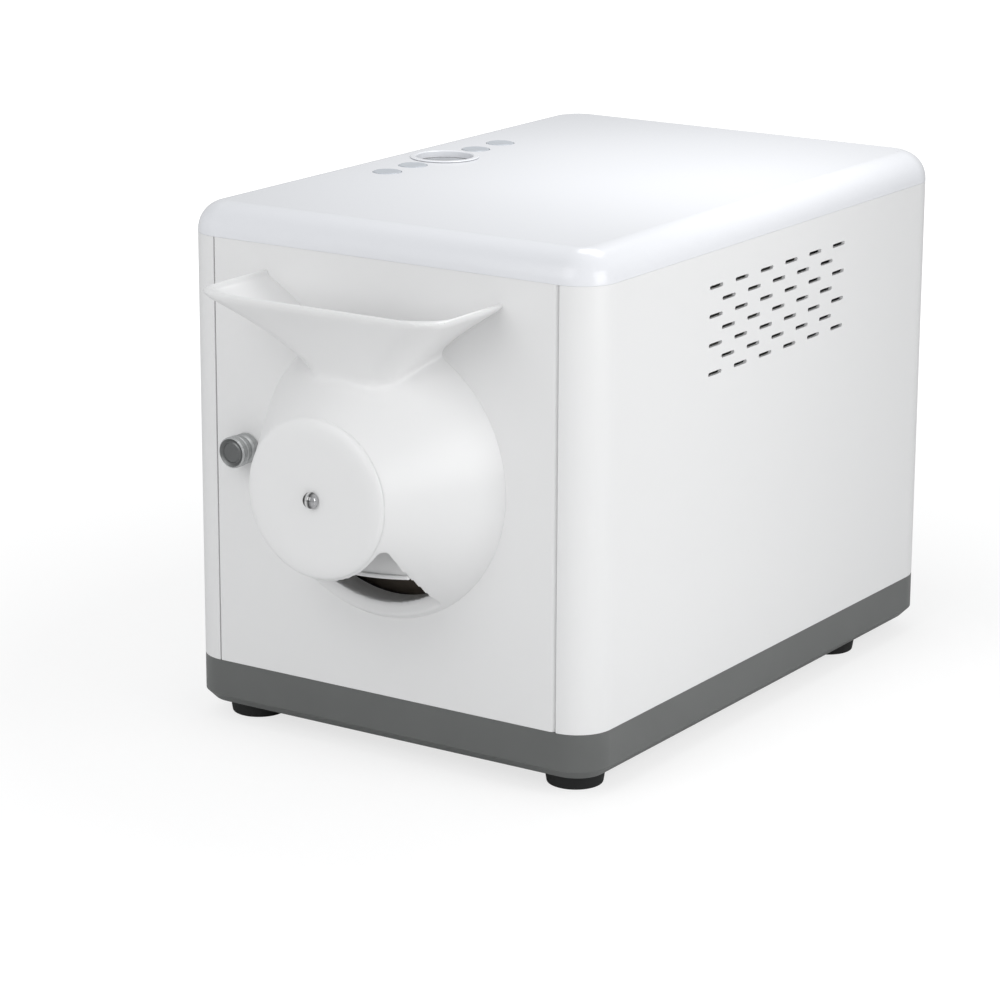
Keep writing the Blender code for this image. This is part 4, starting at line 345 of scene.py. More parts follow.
def turned(name, profile, middle, axis, steps):
    """Draws a half section point by point, as (radius, place along the axis), and spins it."""
    across = Vector((1, 0, 0))
    along = {"Y": Vector((0, 1, 0)), "Z": Vector((0, 0, 1))}[axis]
    middle = Vector(middle)
    places = [middle + across * radius + along * (place - middle.dot(along)) for radius, place in profile]
    bpy.ops.object.select_all(action="DESELECT")
    bpy.ops.mesh.primitive_plane_add(size=SEED_SIZE, location=places[0])
    piece = bpy.context.active_object
    piece.name = name
    bpy.ops.object.transform_apply(location=True, rotation=True, scale=True)
    bpy.ops.object.mode_set(mode="EDIT")
    bpy.ops.mesh.select_mode(type="VERT")
    bpy.ops.mesh.select_all(action="SELECT")
    bpy.ops.mesh.merge(type="CENTER")
    for here, there in zip(places, places[1:]):
        bpy.ops.mesh.extrude_region_move(TRANSFORM_OT_translate={"value": there - here})
    bpy.ops.mesh.select_all(action="SELECT")
    bpy.ops.mesh.spin(steps=steps, angle=math.tau, center=middle, axis=along)
    bpy.ops.mesh.select_all(action="SELECT")
    bpy.ops.mesh.remove_doubles(threshold=MERGE)
    bpy.ops.mesh.normals_make_consistent(inside=False)
    done()
    return piece


def finish(piece, body, paint, replaces):
    """Smooths a piece by its angles, paints it and hangs it on its body."""
    only(piece)
    bpy.ops.object.transform_apply(location=True, rotation=True, scale=True)
    bpy.ops.object.shade_smooth_by_angle(angle=SMOOTH_ANGLE)
    apply(piece, "WEIGHTED_NORMAL", keep_sharp=True)
    piece.data.materials.clear()
    piece.data.materials.append(paint)
    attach(piece, body)
    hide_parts(*replaces)
    print(piece.name, len(piece.data.polygons), "faces")


print("tools ready")

# %% [markdown]
# ## Finishes
#
# Powder coat is nearly smooth: under a lamp it shows a faint orange peel, a ripple about a
# millimetre wide. Moulded plastic has a finer grain. Each finish is one Principled shader whose
# roughness drifts a little and whose bump is that ripple, read in object coordinates.


# %% Finishes
NOISE_LOW = 0.3
NOISE_HIGH = 0.7
COAT_CLOUDS = 4
COAT_ROUGH_CLOUDS = 9
COAT_SMOOTHER = 0.02
COAT_ROUGHER = 0.03
PEEL_HEIGHT = 0.00003
PEEL_STRENGTH = 0.2
MOULD_CLOUDS = 25
METAL_STRENGTH = 0.4
SMOOTHER_SHARE = 0.8
ROUGHER_SHARE = 1.25


def finish_nodes(name, colour, roughness, metallic=0.0, specular=0.5):
    paint = bpy.data.materials.new(name)
    paint.use_nodes = True
    shader = paint.node_tree.nodes["Principled BSDF"]
    shader.inputs["Base Color"].default_value = (*colour, 1)
    shader.inputs["Roughness"].default_value = roughness
    shader.inputs["Metallic"].default_value = metallic
    shader.inputs["Specular IOR Level"].default_value = specular
    paint.diffuse_color = (*colour, 1)
    return paint, paint.node_tree.nodes, paint.node_tree.links, shader


def grain(nodes, links, scale, detail=2.0, stretch=(1, 1, 1)):
    """Noise in object coordinates; its scale is the number of ripples in a metre."""
    place = nodes.new("ShaderNodeTexCoord")
    spread = nodes.new("ShaderNodeMapping")
    spread.inputs["Scale"].default_value = stretch
    noise = nodes.new("ShaderNodeTexNoise")
    noise.inputs["Scale"].default_value = scale
    noise.inputs["Detail"].default_value = detail
    links.new(place.outputs["Object"], spread.inputs["Vector"])
    links.new(spread.outputs["Vector"], noise.inputs["Vector"])
    return noise


def ripple(nodes, links, shader, noise, height, strength):
    bump = nodes.new("ShaderNodeBump")
    bump.inputs["Strength"].default_value = strength
    bump.inputs["Distance"].default_value = height
    links.new(noise.outputs["Fac"], bump.inputs["Height"])
    links.new(bump.outputs["Normal"], shader.inputs["Normal"])


def drift(nodes, links, shader, noise, low, high):
    """Lets the roughness wander between two limits with the noise."""
    span = nodes.new("ShaderNodeMapRange")
    span.inputs["From Min"].default_value = NOISE_LOW
    span.inputs["From Max"].default_value = NOISE_HIGH
    span.inputs["To Min"].default_value = low
    span.inputs["To Max"].default_value = high
    links.new(noise.outputs["Fac"], span.inputs["Value"])
    links.new(span.outputs["Result"], shader.inputs["Roughness"])


def coloured(nodes, links, shader, value, stops):
    """Colours a surface by a value between 0 and 1; each stop is a share and its colour."""
    ramp = nodes.new("ShaderNodeValToRGB")
    elements = ramp.color_ramp.elements
    first, *between, last = stops
    for element, (share, colour) in zip((elements[0], elements[1]), (first, last)):
        element.position = share
        element.color = (*colour, 1)
    for share, colour in between:
        elements.new(share).color = (*colour, 1)
    links.new(value, ramp.inputs["Fac"])
    links.new(ramp.outputs["Color"], shader.inputs["Base Color"])


def tint(nodes, links, shader, noise, colour, dark_share):
    """Lets the colour wander between its own shade and a darker one."""
    darker = tuple(c * dark_share for c in colour)
    coloured(nodes, links, shader, noise.outputs["Fac"], ((NOISE_LOW, darker), (NOISE_HIGH, colour)))


def coloured_along(nodes, links, shader, axis, low, high, stops):
    """Colours a piece by its place along an axis, between two coordinates."""
    place = nodes.new("ShaderNodeTexCoord")
    split = nodes.new("ShaderNodeSeparateXYZ")
    span = nodes.new("ShaderNodeMapRange")
    span.inputs["From Min"].default_value = low
    span.inputs["From Max"].default_value = high
    links.new(place.outputs["Object"], split.inputs["Vector"])
    links.new(split.outputs[axis], span.inputs["Value"])
    coloured(nodes, links, shader, span.outputs["Result"], stops)


def powder_coat(name, colour, roughness, peel=900):
    paint, nodes, links, shader = finish_nodes(name, colour, roughness)
    tint(nodes, links, shader, grain(nodes, links, COAT_CLOUDS, 0.0), colour, dark_share=0.99)
    clouds = grain(nodes, links, COAT_ROUGH_CLOUDS, 0.0)
    drift(nodes, links, shader, clouds, roughness - COAT_SMOOTHER, roughness + COAT_ROUGHER)
    ripple(nodes, links, shader, grain(nodes, links, peel, 0.0), PEEL_HEIGHT, PEEL_STRENGTH)
    return paint


def moulded(name, colour, roughness, texture=1600, height=0.00005, strength=0.5):
    paint, nodes, links, shader = finish_nodes(name, colour, roughness)
    tint(nodes, links, shader, grain(nodes, links, MOULD_CLOUDS), colour, dark_share=0.93)
    ripple(nodes, links, shader, grain(nodes, links, texture, 3.0), height, strength)
    return paint


def metal(name, colour, roughness, stretch=(1, 1, 1), lines=400, height=0.00002):
    paint, nodes, links, shader = finish_nodes(name, colour, roughness, metallic=1.0)
    noise = grain(nodes, links, lines, 3.0, stretch)
    tint(nodes, links, shader, noise, colour, dark_share=0.86)
    drift(nodes, links, shader, noise, roughness * SMOOTHER_SHARE, roughness * ROUGHER_SHARE)
    ripple(nodes, links, shader, noise, height, METAL_STRENGTH)
    return paint


WHITE_COAT = powder_coat("white_coat", (0.80, 0.80, 0.80), 0.30)
CAST_COAT = powder_coat("cast_coat", (0.81, 0.81, 0.81), 0.34, peel=650)
TOP_WHITE = powder_coat("top_white", (0.79, 0.80, 0.83), 0.22, peel=1500)
BASE_GREY = moulded("base_grey", (0.125, 0.13, 0.127), 0.42)
SOFT_BLACK = moulded("soft_black", (0.012, 0.013, 0.013), 0.75, texture=900, height=0.0001)
# Black used only as painted shade on the display sleeve's lowest band
SLEEVE_PAINTED_SHADE = moulded("sleeve_painted_shade", (0.018, 0.018, 0.019), 0.42)
KNOB_METAL = metal("knob_metal", (0.50, 0.51, 0.51), 0.36, stretch=(1, 0.05, 1), lines=900)
# Three copies of one knob metal: the face's darker one is painted shade, the rim's lighter one a painted
# highlight
KNOB_FACE_PAINTED_SHADE = metal("knob_face_painted_shade", (0.20, 0.205, 0.205), 0.42, stretch=(1, 0.05, 1), lines=1200)
KNOB_RIM_PAINTED_HIGHLIGHT = metal("knob_rim_painted_highlight", (0.62, 0.63, 0.63), 0.25, lines=300, height=0.00001)
SHEET_STEEL = metal("sheet_steel", (0.46, 0.46, 0.46), 0.34, stretch=(1, 1, 0.04), lines=700)
TURNED_STEEL = metal("turned_steel", (0.50, 0.50, 0.50), 0.28, stretch=(0.04, 1, 0.04), lines=900)
# Heat-tinted steel whose darkness is also painted shade for the shadowed inside behind the spout
HEAT_TINT_AND_SHADE_STEEL = metal("heat_tint_and_painted_shade_steel", (0.10, 0.085, 0.07), 0.48, stretch=(1, 0.2, 1), lines=160)
BRASS = metal("bearing_brass", (0.56, 0.41, 0.18), 0.38, stretch=(0.05, 1, 0.05), lines=600)
BUTTON_GREY = moulded("button_grey", (0.50, 0.53, 0.57), 0.34, texture=2200, height=0.00002, strength=0.3)
print("finishes:", len(bpy.data.materials))

# %% [markdown]
# ## Inner finishes
#
# Behind the skins there are pressed fibre, silicone, nylon, motor cases and glazed heaters. They
# show only when the door is open, so each is one of the finishes above with its own values, and
# one more kind is added for what is soft and dusty.


# %% Inner finishes
DUST_SPECULAR = 0.25
DUST_FINER = 3
DUST_STRENGTH = 0.6


def dusty(name, colour, roughness, scale, height):
    """Pressed fibre and silicone: matt, with a coarse uneven grain."""
    paint, nodes, links, shader = finish_nodes(name, colour, roughness, specular=DUST_SPECULAR)
    tint(nodes, links, shader, grain(nodes, links, scale, 4.0), colour, dark_share=0.85)
    ripple(nodes, links, shader, grain(nodes, links, scale * DUST_FINER, 3.0), height, DUST_STRENGTH)
    return paint


FIBRE = dusty("jacket_fibre", (0.72, 0.69, 0.62), 0.95, scale=350, height=0.0003)
SILICONE = dusty("seal_silicone", (0.035, 0.033, 0.032), 0.6, scale=120, height=0.00005)
GEAR_PLASTIC = moulded("gear_nylon", (0.72, 0.71, 0.65), 0.5, texture=700, height=0.00004)
MOTOR_GREY = metal("motor_case", (0.28, 0.29, 0.30), 0.42, stretch=(1, 0.05, 1), lines=500)
BOARD_GREEN = moulded("board_resin", (0.03, 0.15, 0.08), 0.4, texture=300, height=0.00004)
HEATER_GLAZE = dusty("heater_glaze", (0.5, 0.42, 0.36), 0.3, scale=240, height=0.00005)
INLET_BLACK = moulded("inlet_black", (0.016, 0.016, 0.017), 0.4, texture=1400, height=0.00004)
print("inner finishes:", FIBRE.name, GEAR_PLASTIC.name, MOTOR_GREY.name)

# %% [markdown]
# ## The box's skins
#
# The two side casings are one bent sheet each. A block is drawn as large as the body, its upright
# edges are rounded, and the inside is taken out, which leaves a 2 mm sheet. The door's width and
# the rear panel's width are cut away, and the front edge is folded inwards beside the door. A
# sheet bent in steps would do as well, but a hollowed block gets its rounds from one bevel. The
# slots are rounded cutters, copied in staggered rows and taken out all at once.

# %% Sizes read from the frame
DOOR_LOW, DOOR_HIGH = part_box("front_door")
CASE_LOW, CASE_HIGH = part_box("right_side_casing")
COVER_LOW, COVER_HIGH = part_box("top_cover")
TRAY_LOW, TRAY_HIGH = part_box("base_tray")
FACE_Y = DOOR_LOW[1]
BACK_Y = CASE_HIGH[1]
HALF_W = CASE_HIGH[0]
DOOR_HALF = DOOR_HIGH[0]
DOOR_BACK_Y = DOOR_HIGH[1]
SEAM = 0.0008
SEAM_EDGE_R = 0.0007
SEAM_EDGE_STEPS = 4
SEAM_CLOSE = 0.00022
DOOR_CLOSE = 0.0003
SKIN = 0.002
COVER_WALL = 0.0025
FRONT_CORNER_R = 0.0205
REAR_CORNER_R = 0.027
COVER_EDGE_R = 0.016
REAR_SEAM_X = 0.090
FOLD_DEPTH = 0.014
print("face y %.4f, back y %.4f, half width %.4f" % (FACE_Y, BACK_Y, HALF_W))


# %% Side casings
VENT_LENGTH = 0.0138
VENT_HEIGHT = 0.0021
VENT_FIRST_Y = FACE_Y + 0.1215
VENT_PITCH = 0.02696
VENT_TOP_Z = 0.2526
VENT_ROW_PITCH = 0.0078
VENT_ROWS = 7
VENT_PER_ROW = 6
SCREW_INSET = 0.007
SCREW_ZS = (0.050, 0.262)
SCREW_HOLE_R = 0.0018
PLAN_STEPS = 16
SLOT_STEPS = 8


def body_block(name, low_z, high_z, inset, steps=PLAN_STEPS):
    """The body's plan as a block, its four upright edges rounded."""
    low = (-HALF_W + inset, FACE_Y + inset, low_z)
    high = (HALF_W - inset, BACK_Y - inset, high_z)
    piece = block(name, low, high)
    for corner_y, radius in ((low[1], FRONT_CORNER_R - inset), (high[1], REAR_CORNER_R - inset)):
        pick(piece, "EDGE", lambda e: upright(e) and abs(e.verts[0].co.y - corner_y) < MERGE)
        round_picked(radius, steps)
    return piece


def long_slot(name, length, height, depth):
    """A slot cutter with round ends, lying along Y and cutting along X, its middle at the origin."""
    tool = block(name, (-depth, -length / 2, -height / 2), (depth, length / 2, height / 2))
    pick(tool, "EDGE", lambda e: width_of(e) > depth)
    round_picked(height * CORNER_REACH_SHARE, SLOT_STEPS)
    return tool


def vent_places():
    places = []
    for row in range(VENT_ROWS):
        short = row % 2
        start = VENT_FIRST_Y + short * VENT_PITCH / 2
        for i in range(VENT_PER_ROW - short):
            places.append((start + i * VENT_PITCH, VENT_TOP_Z - row * VENT_ROW_PITCH))
    return places


def side_casing(node, side):
    """A casing at the left, with side -1, or at the right, with side 1."""
    low_z = CASE_LOW[2] - SEAM_CLOSE
    high_z = CASE_HIGH[2] + SEAM_CLOSE
    casing = body_block(node + "_skin", low_z, high_z, 0)
    carve(casing, body_block("inside", low_z - OVER, high_z + OVER, SKIN))
    seam_x = side * (DOOR_HALF + SEAM)
    fold = sorted((seam_x, seam_x + side * SKIN))
    leaf = block("fold", (fold[0], FACE_Y + SKIN / 2, low_z), (fold[1], FACE_Y + FOLD_DEPTH, high_z))
    carve(casing, leaf, "UNION")
    middle = (FACE_Y + BACK_Y) / 2
    for seam, near_y, far_y in ((seam_x, FACE_Y - OVER, middle),
                                (side * REAR_SEAM_X, middle - OVER, BACK_Y + OVER)):
        away = sorted((seam, -side * (HALF_W + OVER)))
        carve(casing, block("cut", (away[0], near_y, low_z - OVER), (away[1], far_y, high_z + OVER)))
    pick(casing, "EDGE", lambda e: upright(e) and abs(e.verts[0].co.y - FACE_Y) < MERGE
         and abs(e.verts[0].co.x - seam_x) < MERGE)
    round_picked(SEAM_EDGE_R, SEAM_EDGE_STEPS)
    slot = long_slot("vent_cutter", VENT_LENGTH, VENT_HEIGHT, 2 * SKIN)
    cutters = []
    for y, z in vent_places():
        cutters.append(copied(slot, "vent_cut", (side * (HALF_W - SKIN / 2), y, z)))
    bpy.data.objects.remove(slot, do_unlink=True)
    for z in SCREW_ZS:
        x = side * (REAR_SEAM_X + SCREW_INSET)
        cutters.append(rod("screw_cut", SCREW_HOLE_R, (x, BACK_Y - 2 * SKIN, z), (x, BACK_Y + OVER, z),
                           SMALL_STEPS))
    carve(casing, joined("slot_cutters", cutters))
    finish(casing, "frame", WHITE_COAT, [node])


side_casing("left_side_casing", -1)
side_casing("right_side_casing", 1)

# %% [markdown]
# ## Top cover
#
# The cover is a shallow lid. Its block gets the same upright corners, and then the edges round its
# top are bevelled to a soft 16 mm round. A smaller block with the same rounds hollows it, and round
# holes are cut for the buttons and the display. Two blocks are simpler than a pressed sheet here,
# because the wall then follows the rounds by itself.

# %% Top cover
CONTROLS_X = -0.0905
BUTTON_YS = [FACE_Y + place for place in (0.134, 0.159, 0.2226, 0.2483)]
BUTTON_R = 0.008
BUTTON_HOLE_R = BUTTON_R + GAP
BUTTON_HOLE_ROUND = 0.00025
RIM_REACH = 0.0001
DISPLAY_Y = FACE_Y + 0.1908
DISPLAY_HOLE_R = 0.018
COVER_PLAN_STEPS = 14
COVER_EDGE_STEPS = 12
BUTTON_HOLE_ROUND_STEPS = 3


def lid_block(name, inset, low_z):
    top = COVER_HIGH[2] - inset
    piece = body_block(name, low_z, top, inset, COVER_PLAN_STEPS)
    pick(piece, "EDGE", lambda e: lowest(e) > top - MERGE)
    round_picked(COVER_EDGE_R - inset, COVER_EDGE_STEPS)
    return piece


def control_cut(radius, y, steps):
    """A cutter for a round hole in the row of controls."""
    low = (CONTROLS_X, y, COVER_LOW[2])
    high = (CONTROLS_X, y, COVER_HIGH[2] + OVER)
    return rod("control_cut", radius, low, high, steps)


def on_button_rim(vert):
    middles = [Vector((CONTROLS_X, y)) for y in BUTTON_YS]
    return any(abs((vert.co.xy - middle).length - BUTTON_HOLE_R) < RIM_REACH for middle in middles)


def top_cover():
    cover = lid_block("top_cover_skin", 0, COVER_LOW[2])
    carve(cover, lid_block("lid_inside", COVER_WALL, COVER_LOW[2] - OVER))
    cutters = [control_cut(BUTTON_HOLE_R, y, HOLE_STEPS) for y in BUTTON_YS]
    cutters.append(control_cut(DISPLAY_HOLE_R, DISPLAY_Y, WIDE_STEPS))
    carve(cover, joined("hole_cutters", cutters))
    top = COVER_HIGH[2]
    pick(cover, "EDGE", lambda e: lowest(e) > top - MERGE and all(on_button_rim(v) for v in e.verts))
    round_picked(BUTTON_HOLE_ROUND, BUTTON_HOLE_ROUND_STEPS)
    finish(cover, "frame", TOP_WHITE, ["top_cover"])


top_cover()

# %% [markdown]
# ## Base and feet
#
# The base is the same plan again, with a chamfer round its lower edge, which reads as a dark strip
# above the table. Four rubber feet are turned and set in under it. Their profile is drawn with
# sharp corners first and rounded by a formula, so that the rounds keep their own radii. One foot
# is spun, and each foot is a copy of it with its own mesh, moved under its corner.

# %% Base tray
BASE_CHAMFER = 0.005
BASE_WALL = 0.0025
BASE_FLOOR = 0.003


def tray_block(name, inset, low_z, high_z):
    piece = body_block(name, low_z, high_z, inset)
    pick(piece, "EDGE", lambda e: highest(e) < low_z + MERGE)
    round_picked(BASE_CHAMFER, 1)
    return piece


def base_tray():
    tray = tray_block("base_tray_skin", 0, TRAY_LOW[2], TRAY_HIGH[2])
    carve(tray, tray_block("tray_inside", BASE_WALL, TRAY_LOW[2] + BASE_FLOOR, TRAY_HIGH[2] + OVER))
    finish(tray, "frame", BASE_GREY, ["base_tray"])


base_tray()


# %% Rubber feet
FOOT_FLAT_IN = 0.0035
FOOT_TAPER = 0.0015
FOOT_SOLE_R = 0.002
FOOT_TOP_R = 0.0006
FOOT_ROUND_STEPS = 4


def plan_middle(node):
    """The middle of a solid in the plan, and the radius of its widest ring."""
    low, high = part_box(node)
    return ((low[0] + high[0]) / 2, (low[1] + high[1]) / 2, 0), (high[0] - low[0]) / 2


def foot_shape():
    radius = plan_middle("foot_front_left")[1]
    top = TRAY_LOW[2] - GAP
    section = [(0, 0), (radius - FOOT_FLAT_IN, 0), (radius - FOOT_TAPER, 0), (radius, top), (0, top)]
    profile = soft_corners(section, (0, 0, FOOT_SOLE_R, FOOT_TOP_R, 0), FOOT_ROUND_STEPS)
    return turned("foot_shape", profile, (0, 0, 0), "Z", HOLE_STEPS)


def rubber_feet():
    shape = foot_shape()
    for corner in ("front_left", "front_right", "rear_left", "rear_right"):
        node = "foot_" + corner
        piece = copied(shape, node + "_skin", plan_middle(node)[0])
        finish(piece, "frame", SOFT_BLACK, [node])
    bpy.data.objects.remove(shape, do_unlink=True)


rubber_feet()

# %% [markdown]
# ## Front door
#
# The door is a pan 12 mm deep. Its right edge is round about the hinge pins, and its left edge has
# a small round, so the seams beside it catch a thin line of light. The pan is a block with a
# pocket. A collar is added round its mouth and a boss round the knob's spindle before both are
# bored, so that each bore goes through all of its metal in one cut.

# %% Front door
AXIS_Z = 0.1575
DOOR_MOUTH_R = 0.068
DOOR_COLLAR_R = 0.074
DOOR_SKIN = 0.003
DOOR_RIM = 0.003
HINGE_ROUND = 0.003
HINGE_ROUND_STEPS = 10
HINGE_COLUMN_W = 0.010
KNOB_X = -0.0885
KNOB_Z = 0.159
SPINDLE_HOLE_R = 0.0033
SPINDLE_BOSS_R = 0.006
SPINDLE_STEPS = 32


def front_door():
    door = block("front_door_skin", (DOOR_LOW[0] - DOOR_CLOSE, DOOR_LOW[1], DOOR_LOW[2] - SEAM_CLOSE),
                 (DOOR_HIGH[0] + DOOR_CLOSE, DOOR_HIGH[1], DOOR_HIGH[2] + SEAM_CLOSE))
    pick(door, "EDGE", lambda e: upright(e) and e.verts[0].co.x > 0 and e.verts[0].co.y < FACE_Y + MERGE)
    round_picked(HINGE_ROUND, HINGE_ROUND_STEPS)
    pick(door, "EDGE", lambda e: upright(e) and e.verts[0].co.x < 0 and e.verts[0].co.y < FACE_Y + MERGE)
    round_picked(SEAM_EDGE_R, SEAM_EDGE_STEPS)
    pocket = block("pocket", (DOOR_LOW[0] + DOOR_RIM, FACE_Y + DOOR_SKIN, DOOR_LOW[2] + DOOR_RIM),
                   (DOOR_HIGH[0] - HINGE_COLUMN_W, DOOR_BACK_Y + OVER, DOOR_HIGH[2] - DOOR_RIM))
    carve(door, pocket)
    rings = ((0, AXIS_Z, DOOR_COLLAR_R, RING_STEPS), (KNOB_X, KNOB_Z, SPINDLE_BOSS_R, PIN_STEPS))
    holes = ((0, AXIS_Z, DOOR_MOUTH_R, RING_STEPS), (KNOB_X, KNOB_Z, SPINDLE_HOLE_R, SPINDLE_STEPS))
    half_skin = FACE_Y + DOOR_SKIN / 2
    for x, z, outer_r, steps in rings:
        carve(door, rod("ring", outer_r, (x, half_skin, z), (x, DOOR_BACK_Y, z), steps), "UNION")
    cutters = []
    for x, z, hole_r, steps in holes:
        cutters.append(rod("hole", hole_r, (x, FACE_Y - OVER, z), (x, DOOR_BACK_Y + OVER, z), steps))
    carve(door, joined("door_cutters", cutters))
    finish(door, "door", WHITE_COAT, ["front_door"])


front_door()

# %% [markdown]
# ## The casting
#
# Hopper, cone and spout are one casting, so every inner corner on it is round. The outside is made
# first and too large: a cone and a flared block are joined, meshed again in even small faces, and
# smoothed, which pours a fillet into the corner between them. A bevel can't do that, because the
# two forms meet in a curve with no clean row of edges.

# %% Casting outside
CONE_R = 0.078
CAP_R = 0.0406
CAP_OUT = 0.0615
CAST_OUT = 0.058
CAST_WALL = 0.003
FLANGE = 0.004
CONE_SLOPE = (CONE_R - CAP_R) / CAP_OUT
NECK_Z = 0.209
NECK_DROP = 0.018
LIP_Z = 0.2585
LIP_BAND = 0.0028
NECK_HALF_W = 0.023
NECK_DEPTH = 0.033
MOUTH_HALF_W = 0.076
MOUTH_DEPTH = 0.0625
# A trial with 0.019 and 0.022 here came out with its mouth filled
MOUTH_CORNER_R = 0.012
HOLLOW_CORNER_R = 0.020
FLARE_POWER = 1.5
FLARE_SECTIONS = 12
FLARE_CORNER_STEPS = 7
BEHIND = 0.012
CAST_VOXEL = 0.0014
FILLET_SMOOTHING = 0.6
FILLET_ROUNDS = 34


def cone_radius(out):
    return CONE_R - CONE_SLOPE * out


def cone_block(name, shrink, back, front):
    """The cone between two distances before the door, made thinner by shrink."""
    near = (0, FACE_Y - back, AXIS_Z)
    far = (0, FACE_Y - front, AXIS_Z)
    return rod(name, cone_radius(back) - shrink, near, far, CONE_STEPS, cone_radius(front) - shrink)


def flared_block(name, inset, corner_r, past_lip):
    """A block at the neck, extruded upwards section by section, each one wider than the last."""
    low_z = NECK_Z - NECK_DROP - inset
    half = NECK_HALF_W - inset
    depth = NECK_DEPTH - inset
    piece = block(name, (-half, FACE_Y - depth, low_z), (half, FACE_Y + BEHIND, NECK_Z))
    pick(piece, "FACE", lambda f: f.normal.z > UPRIGHT_SHARE)
    z = NECK_Z
    for i in range(1, FLARE_SECTIONS + 1):
        share = i / FLARE_SECTIONS
        flare = share ** FLARE_POWER
        new_half = NECK_HALF_W + (MOUTH_HALF_W - NECK_HALF_W) * flare - inset
        new_depth = NECK_DEPTH + (MOUTH_DEPTH - NECK_DEPTH) * flare - inset
        new_z = NECK_Z + (LIP_Z - LIP_BAND - NECK_Z) * share
        bpy.ops.mesh.extrude_region_move(TRANSFORM_OT_translate={"value": (0, 0, new_z - z)})
        bpy.ops.transform.resize(value=(new_half / half, new_depth / depth, 1),
                                 center_override=(0, FACE_Y, new_z))
        half, depth, z = new_half, new_depth, new_z
    bpy.ops.mesh.extrude_region_move(TRANSFORM_OT_translate={"value": (0, 0, LIP_BAND + past_lip)})
    done()
    pick(piece, "EDGE", lambda e: max(v.co.y for v in e.verts) < FACE_Y and highest(e) - lowest(e) > MERGE)
    round_picked(corner_r - inset, FLARE_CORNER_STEPS)
    return piece


def casting_outside():
    outside = cone_block("hopper_casting_skin", 0, -BEHIND, CAST_OUT + BEHIND)
    carve(outside, flared_block("flare", 0, MOUTH_CORNER_R, BEHIND), "UNION")
    apply(outside, "REMESH", mode="VOXEL", voxel_size=CAST_VOXEL, adaptivity=0)
    apply(outside, "SMOOTH", factor=FILLET_SMOOTHING, iterations=FILLET_ROUNDS)
    return outside


casting = casting_outside()
print("casting outside:", len(casting.data.polygons), "faces")

# %% [markdown]
# ## The casting's planes, hollow and spout
#
# The casting ends in flat planes at the hopper's mouth and behind the cap, and these are cut next.
# The cone and the hopper are hollowed with smaller blocks of their own forms, and the spout's
# notch is opened between two cheeks. A last fine mesh, smoothed a little, rounds all the edges as
# paint does. The plane at the door is cut last, so that it stays sharp and closes on the door.

# %% Casting inside and spout
SPOUT_HALF_W = 0.040
SPOUT_TOP_Z = 0.1335
WALL_ALONG_R = CAST_WALL * math.hypot(1, CONE_SLOPE)
CUT_BELOW_NECK = 0.010
CAP_BORE_R = 0.0023
EDGE_VOXEL = 0.00125
EDGE_SMOOTHING = 0.5
EDGE_ROUNDS = 3
CAST_CLOSE = 0.00005
FAR = 0.2


def cheek(side):
    """A spout cheek: a plate inside the cone, cut to the cone's own slope."""
    wall = sorted((side * SPOUT_HALF_W, side * (SPOUT_HALF_W + CAST_WALL)))
    plate = block("cheek", (wall[0], FACE_Y - CAST_OUT, AXIS_Z - CONE_R),
                  (wall[1], FACE_Y - FLANGE / 2, SPOUT_TOP_Z))
    carve(plate, cone_block("cheek_round", WALL_ALONG_R / 3, 0, CAST_OUT), "INTERSECT")
    return plate


def bore(piece, radius, near_y, far_y, steps):
    """Drills a hole through the casting on the cone's axis."""
    carve(piece, rod("bore", radius, (0, near_y, AXIS_Z), (0, far_y, AXIS_Z), steps))


def casting_inside(piece):
    carve(piece, block("far_behind", (-FAR, FACE_Y + BEHIND / 2, 0), (FAR, FACE_Y + FAR, FAR + LIP_Z)))
    carve(piece, block("above", (-FAR, FACE_Y - FAR, LIP_Z), (FAR, FACE_Y + FAR, LIP_Z + FAR)))
    carve(piece, block("before", (-FAR, FACE_Y - FAR, 0), (FAR, FACE_Y - CAST_OUT, NECK_Z - CUT_BELOW_NECK)))
    carve(piece, cone_block("cone_hollow", WALL_ALONG_R, FLANGE, CAST_OUT - CAST_WALL))
    carve(piece, flared_block("hopper_hollow", CAST_WALL, HOLLOW_CORNER_R, OVER))
    bore(piece, DOOR_MOUTH_R, FACE_Y - FLANGE - OVER, FACE_Y + BEHIND, RING_STEPS)
    for side in (-1, 1):
        carve(piece, cheek(side), "UNION")
    notch = block("notch", (-SPOUT_HALF_W, FACE_Y - CAST_OUT + CAST_WALL, AXIS_Z - CONE_R - OVER),
                  (SPOUT_HALF_W, FACE_Y - FLANGE, SPOUT_TOP_Z))
    carve(piece, notch)
    bore(piece, CAP_BORE_R, FACE_Y - CAP_OUT, FACE_Y - CAST_OUT + 2 * CAST_WALL, SMALL_STEPS)
    apply(piece, "REMESH", mode="VOXEL", voxel_size=EDGE_VOXEL, adaptivity=0)
    apply(piece, "SMOOTH", factor=EDGE_SMOOTHING, iterations=EDGE_ROUNDS)
    carve(piece, block("behind", (-FAR, FACE_Y - CAST_CLOSE, 0), (FAR, FACE_Y + FAR, FAR + LIP_Z)))
    finish(piece, "door", CAST_COAT, ["hopper_casting"])


casting_inside(casting)

# %% [markdown]
# ## Cap and nut
#
# A loose round cap closes the small end of the cone. It is turned, and its edge rolls back so softly
# that cap and cone look like one form. A domed nut holds it. A real chrome nut mirrors the whole
# room; this room is empty, so the nut's dark flanks and its white streak are given by its colour.

# %% Cap and nut
CAP_BACK = 0.0581
CAP_ROLL_IN = 0.011
CAP_ROLL_STEPS = 14
NUT_R = 0.0044
NUT_SEAT = 0.0618
NUT_TOP = 0.0665
NUT_SKIRT = 0.0011
NUT_EDGE = 0.0003
NUT_DOME_SHARE = 0.97
NUT_DOME_STEPS = 16


